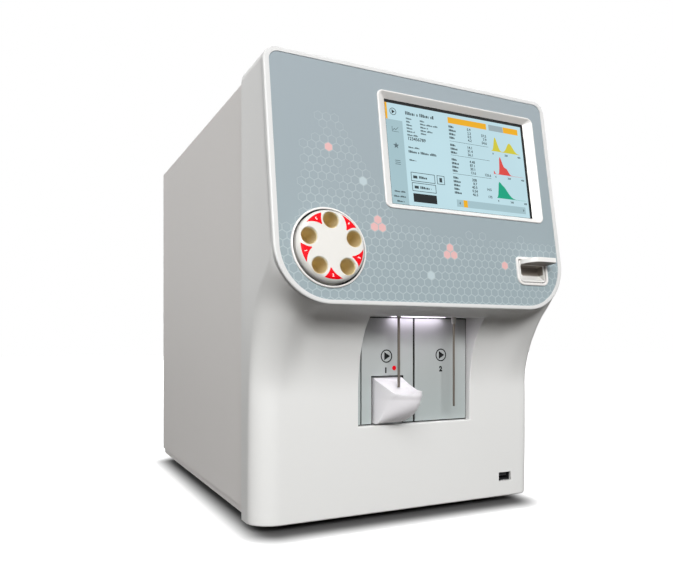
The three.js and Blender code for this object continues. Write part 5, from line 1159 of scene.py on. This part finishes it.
def plate_with_seal(side, x0, x1, notch=None):
    """Satin plate with a black band round its edge, set back a little; the band paints the shade of the gap."""
    face = bevelled(slab(plate_outline(x0, x1, GAP_SHADE_BAND, notch), PLATE_FRONT, PLATE_BACK), 0.35, 3, 50)
    # Black band in the gap round the plate's edge, so that the gap is as dark as its shade: painted shade.
    gap_shade = banded(plate_outline(x0, x1, 0, notch), plate_outline(x0, x1, GAP_SHADE_BAND - 0.05, notch), GAP_SHADE_FRONT, GAP_SHADE_BACK)
    body = f"start_key_{side}"
    piece(f"start_plate_{side}_face", face, UPRIGHT, PLATE, body=body, replaces=[f"start_plate_{side}"])
    piece(f"start_plate_{side}_seal", gap_shade, UPRIGHT, RUBBER, body=body)


plate_with_seal("left", -44.6, SEAM - 0.2, (CUP_LEFT - 1, CUP_RIGHT + 1, CUP_TOP + 1))
plate_with_seal("right", SEAM + 0.2, 70.7)
side_strip = box(-48.7, -45.0, PLATE_FRONT, PLATE_BACK, BAY_FOOT + 1.0, BAY_CEILING - 1.0, 0.3)
piece("bay_side_strip", side_strip, UPRIGHT, PLATE)
# Black bands in the gaps beside the side strip: painted shade of the gaps.
strip_gap_shade = merged(box(-49.5, -48.6, GAP_SHADE_FRONT, GAP_SHADE_BACK, BAY_FOOT + 0.2, BAY_CEILING - 0.2),
                    box(-48.6, -45.0, GAP_SHADE_FRONT, GAP_SHADE_BACK, BAY_FOOT + 0.2, BAY_FOOT + 1.1))
piece("bay_strip_gap_shade", strip_gap_shade, UPRIGHT, RUBBER)

# %% Signs on the plates
def play_sign(x, z, side, number, label_x, label_z, front=23.94, back=24.02):
    ring_mark = banded(circle_at(x, z, 6.0), circle_at(x, z, 4.95), back, front)
    arrow = slab([(x - 2.3, z + 3.8), (x - 2.3, z - 3.8), (x + 3.8, z)], front, back)
    label = numerals(number, 6.4, label_x, label_z, "CENTER", (back - front) / 2, bold=0.4)
    bmesh.ops.translate(label, verts=label.verts, vec=(0, (front + back) / 2, 0))
    piece(f"play_sign_{side}", merged(ring_mark, arrow, label), UPRIGHT, INK, body=f"start_key_{side}")


play_sign(-18.3, 146.5, "left", "1", -19.0, 131.6)
play_sign(41.1, 147.0, "right", "2", 40.9, 131.8)
piece("red_dot", slab(circle_at(-10.3, 135.7, 2.1), 23.93, 24.02), UPRIGHT, RED, body="start_key_left",
      slot="plate_paint")


# %% [markdown]
# The drip cup is stacked from plans: a flat left face, a soft corner that runs down to the left foot, a belly
# and a small spout at the right. A block with the falling top is cut off, the dish is cut with a flattened
# ball, and every edge is rounded.

# %% Drip cup
REACH = 35.0
CUP_FRONT, CUP_LIP = PLATE_FRONT - REACH, CUP_TOP - 13.5


def cup_plan(z):
    """The cup's outline at a height: flat left face, soft corner, belly and right side."""
    share = clamped((z - CUP_FOOT) / (CUP_LIP - CUP_FOOT))
    lip = smooth_step(z, CUP_LIP - 5, CUP_LIP)
    heel = (CUP_LEFT, PLATE_FRONT - 1.0)
    corner = (CUP_LEFT + 0.3 + 6.4 * share - 0.6 * lip, PLATE_FRONT - 7 - 17 * share - 0.6 * lip)
    right = CUP_RIGHT - 5.5 * (1 - share) ** 1.5
    nose_y = PLATE_FRONT + 3 - (REACH + 3) * math.sqrt(1 - (1 - share) ** 2.2)
    nose = (right - 5, min(nose_y - 1.0 * lip, PLATE_FRONT))
    spout = (right + 1.0 * lip, nose[1] + 3 + 1.6 * lip)
    points = [(right, 29), (CUP_LEFT, 29), heel]
    points += bent(heel, corner, (CUP_LEFT + 2.2 * share, (PLATE_FRONT + corner[1]) / 2))[1:]
    points += bent(corner, nose, (corner[0] * 0.55 + nose[0] * 0.45 - 1.5, nose[1] + 0.2), 10)
    points += bent(nose, spout, (right - 0.6, nose[1] + 0.4), 5)
    points += bent(spout, (right, nose[1] + 13), (right + 0.8 * lip, nose[1] + 7), 5)
    return [(x, y, z) for x, y in points]


levels = [CUP_FOOT, CUP_FOOT + 0.5, CUP_FOOT + 1.5] + spaced(CUP_FOOT + 3, CUP_LIP - 6, 9)
levels += spaced(CUP_LIP - 5, CUP_LIP + 1, 7) + [CUP_TOP + 4]
cup_block = stacked([cup_plan(z) for z in levels])
falling = [(40, CUP_TOP), (PLATE_FRONT, CUP_TOP), (PLATE_FRONT - 12, CUP_TOP - 5.6), (CUP_FRONT + 10, CUP_LIP + 1.6),
           (CUP_FRONT + 4, CUP_LIP + 0.1), (CUP_FRONT - 6, CUP_LIP - 0.2)]
raised = [(y, z + 3.2 * smooth_step(-y, -12, 10)) for y, z in falling]
above = [(CUP_FRONT - 6, CUP_TOP + 12), (40, CUP_TOP + 12)]
cover_block = stacked([[(x, y, z) for y, z in side + above] for x, side in (
    (CUP_LEFT - 6, falling), (CUP_LEFT + 14, falling), (CUP_RIGHT - 4, raised), (CUP_RIGHT + 8, raised))])
dish = bmesh.new()
bmesh.ops.create_uvsphere(dish, u_segments=48, v_segments=32, radius=1)
bmesh.ops.scale(dish, verts=dish.verts, vec=(10.6, 15.0, 3.0))
bmesh.ops.rotate(dish, verts=dish.verts, matrix=Matrix.Rotation(math.atan2(12.5, REACH), 3, "X"), cent=(0, 0, 0))
bmesh.ops.translate(dish, verts=dish.verts, vec=(-14.6, PLATE_FRONT - REACH / 2 + 0.6, CUP_TOP - 5.4))
cup = bevelled(combined(cup_block, [cover_block, dish]), 1.0, 4, 28)
piece("sample_cup", cup, UPRIGHT, CUP, replaces=["drip_cup"], smooth=55)

# %% Needles, wash heads and light
NEEDLE_TOP, COLLAR_LOW, COLLAR_HIGH = 211.1, BAY_CEILING + 2.8, BAY_CEILING + 8.8
for name, x, tip, radius, neck in (("sample", SAMPLE_X, 119.5, 1.2, 1.5), ("dilution", DILUTE_X, 100.5, 1.0, 6.0)):
    hollow, bore, low = radius * 0.55, radius + 0.3, BAY_CEILING - neck
    tube = [(hollow, tip + 1.2), (hollow, tip), (radius * 0.85, tip), (radius, tip + 0.5), (radius, NEEDLE_TOP),
            (hollow, NEEDLE_TOP), (hollow, tip + 1.2)]
    piece(f"{name}_probe", turned(tube, x, NEEDLE_Y, 0, "Z", 28), UPRIGHT, PROBE, body=f"{name}_lift",
          replaces=[f"{name}_needle"])
    head = [(bore, low), (bore + 0.35, low), (bore + 0.6, low + 0.3), (2.1, low + neck * 0.6), (2.3, COLLAR_LOW),
            (5, COLLAR_LOW), (5, COLLAR_HIGH), (bore, COLLAR_HIGH), (bore, low)]
    piece(f"{name}_wash_collar", turned(head, x, NEEDLE_Y, 0, "Z", 32), UPRIGHT, WHEEL,
          replaces=[f"{name}_wash_head"])

LAMP = Paint("lamp_lens", colour(250, 245, 255), 0.4, Emission_Strength=7.0)
LAMP.feed("Emission Color", LAMP.blend(LAMP.noise(80, 1.0), colour(244, 232, 255), colour(255, 246, 255)))
strip = merged(box(-15.5, 40.5, 14.3, 21.7, BAY_CEILING, BAY_CEILING + 3.5, 0.3),
               box(-17, 42, 12.8, 23.2, BAY_CEILING + 2.8, BAY_CEILING + 4.3, 0.3))
piece("bay_lamp", strip, UPRIGHT, LAMP, replaces=["bay_light"])

# %% [markdown]
# ## Socket, cover, base and feet
# The front socket is a small black well with a tongue. The cover is one bent sheet with soft corners, and
# the base pan shows as a narrow gap above four rubber feet.

# %% Front socket
WELL = ((7.25, 4.0, 0.5, 21.4), (7.0, 3.75, 0.5, 21.1), (6.35, 3.1, 0.4, 21.1), (6.2, 2.95, 0.3, 21.5),
        (6.2, 2.95, 0.3, 34.9), (7.25, 4.0, 0.5, 36.9))
well = [at_depth(outline_around(PORT_X, PORT_Z, half_x, half_z, radius, 4), depth)
        for half_x, half_z, radius, depth in WELL]
socket = merged(stacked(well, closed=True),
                box(PORT_X - 5.6, PORT_X + 5.6, 23.4, 35, PORT_Z - 0.2, PORT_Z + 1.6, 0.2),
                box(PORT_X - 7, PORT_X + 7, 34.8, 36.8, PORT_Z - 3.8, PORT_Z + 3.8, 0.2))
piece("front_data_socket", socket, UPRIGHT, BLACK, replaces=["front_socket"])

# %% Cover
COVER_HALF, COVER_TOP, COVER_FOOT, COVER_ROUND, SHEET = 143.5, 384.5, 17.3, 4.0, 1.2
COVER_SECTION = ((0.5, 53.4), (0.1, 53.55), (0, 54.0), (0, 396.4), (0.1, 396.85), (0.5, COVER_END))


def cover_loop(inset):
    """Upside-down U of the sheet's outside, moved inwards."""
    half, top, radius = COVER_HALF - inset, COVER_TOP - inset, COVER_ROUND - inset
    return ([(half, COVER_FOOT)] + arc(half - radius, top - radius, radius, 0, 90, 8)
            + arc(radius - half, top - radius, radius, 90, 180, 8) + [(-half, COVER_FOOT)])


cover = stacked([at_depth(cover_loop(inset) + cover_loop(SHEET)[::-1], depth) for inset, depth in COVER_SECTION])
piece("steel_cover", cover, UPRIGHT, COVER, replaces=["sheet_cover"])

# %% Feet
FOOT = [(0, 0.0), (8.6, 0.0), (9.5, 0.35), (10.6, 2.6), (11, 4.2), (11, 9.9), (10.6, 10.5), (0, 10.6)]
for end, y in (("front", 50), ("rear", 367)):
    for side, x in (("left", -112), ("right", 112)):
        piece(f"rubber_foot_{end}_{side}", turned(FOOT, x, y, 0, "Z", 48), UPRIGHT, RUBBER,
              replaces=[f"foot_{end}_{side}"])


# %% [markdown]
# ## CAD nodes that stay
# Folded sheets and inner modules have the right shape already. The visible ones are copied, merged and given
# rounded edges; the inner ones only get a finish.

# %% Soften the remaining visible nodes
def merged_copy(node):
    """A CAD node's mesh, its doubled points merged and its flat faces joined."""
    bm = bmesh.new()
    bm.from_mesh(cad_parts[node].data)
    bmesh.ops.remove_doubles(bm, verts=bm.verts, dist=1e-6)
    bmesh.ops.dissolve_limit(bm, angle_limit=math.radians(1), verts=bm.verts, edges=bm.edges)
    return bm


def softened(node, name, width, paint=BLACK, **options):
    """A merged copy of a CAD node with its edges rounded."""
    piece(name, bevelled(merged_copy(node), width * MM, 2, 40), Matrix.Identity(4), paint, replaces=[node],
          smooth=30, **options)


softened("fan_housing", "fan_frame", 0.4)
softened("fan_rotor", "fan_blades", 0.25, body="rotor")
softened("mains_inlet", "mains_inlet_body", 0.5)
softened("switch_housing", "switch_bezel", 0.5)
softened("power_rocker", "rocker_cap", 0.5, body="rocker")
for number in (1, 2, 3):
    softened(f"data_socket_{number}", f"data_port_{number}", 0.2, ZINC, slot="steel")


# %% [markdown]
# ## The back
# The back was made plain by the folded sheet alone, so it gets what such an instrument carries there: slots cut
# through the sheet, cross-head screws, hexagon nuts and coloured rings on the reagent couplings, pins in the
# mains inlet, cores in the data sockets, an earth stud and a bare plate with rivets.

# %% Rear sheet with its slots
BACK = 393.962
plate = merged_copy("rear_panel")
plate.transform(UPRIGHT.inverted())
slots = [(x, z, 17) for z in (178, 220) for x in spaced(38, 118, 10)] + [(x, 330, 12) for x in spaced(20, 118, 12)]
plate = combined(plate, [slab(outline_around(x, z, 1.5, half, 1.4), BACK - 6, BACK + 3) for x, z, half in slots])
piece("rear_plate", bevelled(plate, 0.3, 2, 40), UPRIGHT, COVER, replaces=["rear_panel"], smooth=30)

# %% Screws
def fitting(profile, x, z, steps):
    """Profile of (radius, height over the rear sheet), spun."""
    return turned([(radius, BACK + out) for radius, out in profile], x, 0, z, steps=steps)


def screw(x, z, size=3.3, half=0.36):
    """Low cross-head screw that looks backwards."""
    reach, cut, out = size * 0.62, BACK + 0.7, BACK + 3
    head = fitting([(0, 1.7), (size * 0.55, 1.6), (size * 0.88, 1.1), (size, 0.4), (size, -0.5), (0, -0.5)], x, z, 28)
    return combined(head, [box(x - reach, x + reach, cut, out, z - half, z + half),
                           box(x - half, x + half, cut, out, z - reach, z + reach)])


places = [(side * 136, z) for side in (-1, 1) for z in (22, 140, 258, 376)]
places += [(-45, 376), (45, 376), (-45, 18), (36, 18)]
piece("rear_screws", merged(*[screw(x, z) for x, z in places]), UPRIGHT, STEEL)
fan_places = [(-70 + dx, 290 + dz) for dx in (-35.75, 35.75) for dz in (-35.75, 35.75)]
piece("fan_screws", merged(*[screw(x, z, 2.9) for x, z in fan_places]), UPRIGHT, BLACK)

# %% Couplings, sensor sockets and their numbers
COUPLINGS, SENSORS, SOCKETS = (-95, -61, -27, 7), (-95, -61), (60, 84, 108)
NUT = [(7.1, 0), (9.6, 0), (9.6, 3.2), (9.0, 3.8), (7.1, 3.8), (7.1, 0)]
SENSOR_NUT = [(8.1, 0), (10.4, 0), (10.4, 2.6), (9.8, 3.1), (8.1, 3.1), (8.1, 0)]
BAND = [(4.6, 3.9), (7.9, 3.9), (8.2, 4.3), (8.2, 5.6), (7.9, 6.0), (4.6, 6.0), (4.6, 3.9)]
SHADES = (colour(54, 96, 160), colour(196, 60, 54), colour(222, 176, 58), colour(112, 118, 122))
PRINT = (BACK - 0.02, BACK + 0.06)
piece("coupling_nuts", merged(*[fitting(NUT, x, 70, 6) for x in COUPLINGS]), UPRIGHT, TRIM)
for number, (x, shade) in enumerate(zip(COUPLINGS, SHADES), 1):
    piece(f"coupling_band_{number}", fitting(BAND, x, 70, 48), UPRIGHT,
          finished(f"band_{number}", shade, 0.4, slot="trim_white"))
piece("sensor_nuts", merged(*[fitting(SENSOR_NUT, x, 104, 6) for x in SENSORS]), UPRIGHT, STEEL)
number_places = [(x, z) for row, z in ((COUPLINGS, 54.5), (SENSORS, 120), (SOCKETS, 283)) for x in row]
signs = [numerals(str(number), 6.0, 0, 0, "CENTER", 0.05, bold=0.2) for number in range(1, len(number_places) + 1)]
for sign, (x, z) in zip(signs, number_places):
    sign.transform(Matrix.Translation((x, BACK + 0.02, z)) @ Matrix.Rotation(math.pi, 4, "Z"))
signs += [banded(circle_at(95, 77, 2.3, 32), circle_at(95, 77, 1.6, 32), *PRINT), box(94.6, 95.4, *PRINT, 112.5, 117)]
piece("rear_numbers", merged(*signs), UPRIGHT, INK)

# %% Mains pins, socket cores, earth stud and bare plate
pins = [box(x, x + 2, BACK - 16, BACK - 1.5, z, z + 4.5, 0.3) for x, z in ((94, 61.5), (87, 55), (101, 55))]
piece("mains_pins", merged(*pins), UPRIGHT, STEEL)
cores = [box(x - 6.4, x + 6.4, BACK - 15, BACK - 3.2, 294.6, 305.4, 0.3) for x in SOCKETS]
cores += [box(x - 4.6, x + 4.6, BACK - 4, BACK - 1, 299.2, 301.4, 0.2) for x in SOCKETS]
piece("data_port_cores", merged(*cores), UPRIGHT, BLACK)
washer = [(0, -1), (5.5, -1), (5.5, 0.9), (0, 0.9)]
nut = [(0, 0.8), (4.0, 0.8), (4.0, 3.6), (3.6, 4.0), (0, 4.0)]
bolt = [(0, 3), (2.0, 3), (2.0, 7.6), (1.6, 8), (0, 8)]
stud = [fitting(profile, 60, 34, steps) for profile, steps in ((washer, 36), (nut, 6), (bolt, 24))]
piece("earth_stud", merged(*stud), UPRIGHT, STEEL)
bare = bevelled(slab(outline_around(-66, 196, 44, 24, 3), BACK - 0.1, BACK + 0.5), 0.15, 2, 50)
piece("bare_plate", bare, UPRIGHT, ZINC)
rivet = [(0, 1.1), (1.0, 1.0), (1.7, 0.5), (1.7, 0.2), (0, 0.2)]
piece("plate_rivets", merged(*[fitting(rivet, x, z, 24) for x in (-106, -26) for z in (176, 216)]), UPRIGHT, STEEL)

# %% Finish of the CAD nodes
NODE_PAINTS = (
    (COVER, "base_pan"),
    (WHEEL, "mixer_shaft"),
    (BOARD, "main_board"),
    (BLACK, "display_module mixer_motor start_switch_left start_switch_right sample_lift_motor dilution_lift_motor"),
    (BLACK, "pump_unit"),
    (ZINC, "mixer_bracket bay_back_plate lift_bracket power_supply measuring_unit"),
    (STEEL, "sample_carriage dilution_carriage sample_guide_rod dilution_guide_rod sensor_socket_1 sensor_socket_2"),
    (TRIM, "reagent_coupling_1 reagent_coupling_2 reagent_coupling_3 reagent_coupling_4"),
)
for paint, nodes in NODE_PAINTS:
    for node in nodes.split():
        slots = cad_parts[node].data.materials
        slots.clear()
        slots.append(paint.material)


# %% [markdown]
# ## Studio
# A pale floor that brightens away from the instrument, an even sky and six large soft windows. The camera
# stands left of the middle, low, and looks level; its upward view comes from the lens shift, as a view
# camera's rise does.

# %% Floor
SHADOW_HALF_X, SHADOW_HALF_Y, SHADOW_MIDDLE = 0.122, 0.176, 0.02
floor_mesh = bmesh.new()
bmesh.ops.create_grid(floor_mesh, x_segments=1, y_segments=1, size=6)
floor = held(floor_mesh, "floor")
ground = Paint("studio_floor", (0.62, 0.62, 0.62, 1), 0.9, Specular_IOR_Level=0.0)
x, y, _ = ground.axes()
past_x = ground.sum("MAXIMUM", ground.sum("ABSOLUTE", x) - SHADOW_HALF_X, 0.0)
past_y = ground.sum("MAXIMUM", ground.sum("ABSOLUTE", y - SHADOW_MIDDLE) - SHADOW_HALF_Y, 0.0)
distance = ground.sum("SQRT", past_x * past_x + past_y * past_y)
seen = ground.wire("Is Camera Ray", "ShaderNodeLightPath")
# Painted shadow: the floor seen by the camera darkens close round the instrument's footprint.
painted_contact_shadow = ground.step(distance, 0.006, 0.046, 0.15, 0.62)
ground.feed("Base Color", ground.blend(seen, (0.075, 0.069, 0.065, 1), painted_contact_shadow))
# The white glow also starts only past the footprint, so that the painted shadow stays dark there.
strength = (ground.step(distance, 0.01, 0.052, 0.0, 0.95) * ground.step(distance, 0.3, 1.4, 1.0, 1.36, "LINEAR")
            * seen)
glow = ground.wire(0, "ShaderNodeEmission", None, {"Color": (1, 1, 1, 1), "Strength": strength})
ground.finish(ground.wire(0, "ShaderNodeAddShader", None, {0: ground.surface.outputs[0], 1: glow}),
              "Material Output")
floor.data.materials.append(ground.material)

# %% Sky
world = bpy.data.worlds.new("studio")
bpy.context.scene.world = world
world.use_nodes = True
sky = Graph(world.node_tree)
dim = world.node_tree.nodes["Background"]
dim.inputs["Color"].default_value, dim.inputs["Strength"].default_value = (0.98, 0.99, 1.0, 1), 0.1
white = sky.wire(0, "ShaderNodeBackground", None, {"Color": (1, 1, 1, 1), "Strength": 1.0})
rays = sky.node("ShaderNodeLightPath").outputs
seen = sky.sum("MAXIMUM", rays["Is Camera Ray"], rays["Is Glossy Ray"])
seen = sky.sum("MAXIMUM", seen, rays["Is Transmission Ray"])
sky.finish(sky.wire(0, "ShaderNodeMixShader", None, {0: seen, 1: dim.outputs[0], 2: white}), "World Output")

# %% Windows
WINDOWS = {
    "left_window": ((-1.15, -1.8, 1.95), (0, -0.1, 0.25), (1.4, 1.2), 20),
    "right_window": ((2.2, -3.0, 3.3), (0, -0.1, 0.25), (2.4, 2.0), 14),
    "front_window": ((-0.72, -3.05, 1.62), (0, 0, 0.2), (1.7, 0.85), 92),
    "back_window": ((0.9, 4.2, 1.5), (0, 0.2, 0.2), (3.2, 2.0), 62),
    "far_side_window": ((4.2, 0.4, 1.5), (0, 0, 0.2), (2.4, 2.0), 44),
    "side_window": ((-4.2, 0.2, 2.0), (0, 0, 0.2), (2.4, 2.0), 49),
}
for name, (place, target, size, power) in WINDOWS.items():
    data = bpy.data.lights.new(name, "AREA")
    data.shape, data.energy = "RECTANGLE", power
    data.size, data.size_y = size
    lamp = bpy.data.objects.new(name, data)
    lamp.location = place
    lamp.rotation_euler = (Vector(target) - Vector(place)).to_track_quat("-Z", "Y").to_euler()
    bpy.context.scene.collection.objects.link(lamp)


# %% Camera
camera_data = bpy.data.cameras.new("camera")
camera_data.sensor_width = 36.0
camera_data.lens = 34.29
camera_data.shift_y = 0.0755
camera = bpy.data.objects.new("camera", camera_data)
camera.location = (-0.31383, -0.66076, 0.16078)
camera.rotation_euler = (math.radians(90), 0, math.radians(-26.16))
bpy.context.scene.collection.objects.link(camera)
bpy.context.scene.camera = camera
bpy.context.scene.view_settings.view_transform = "Standard"
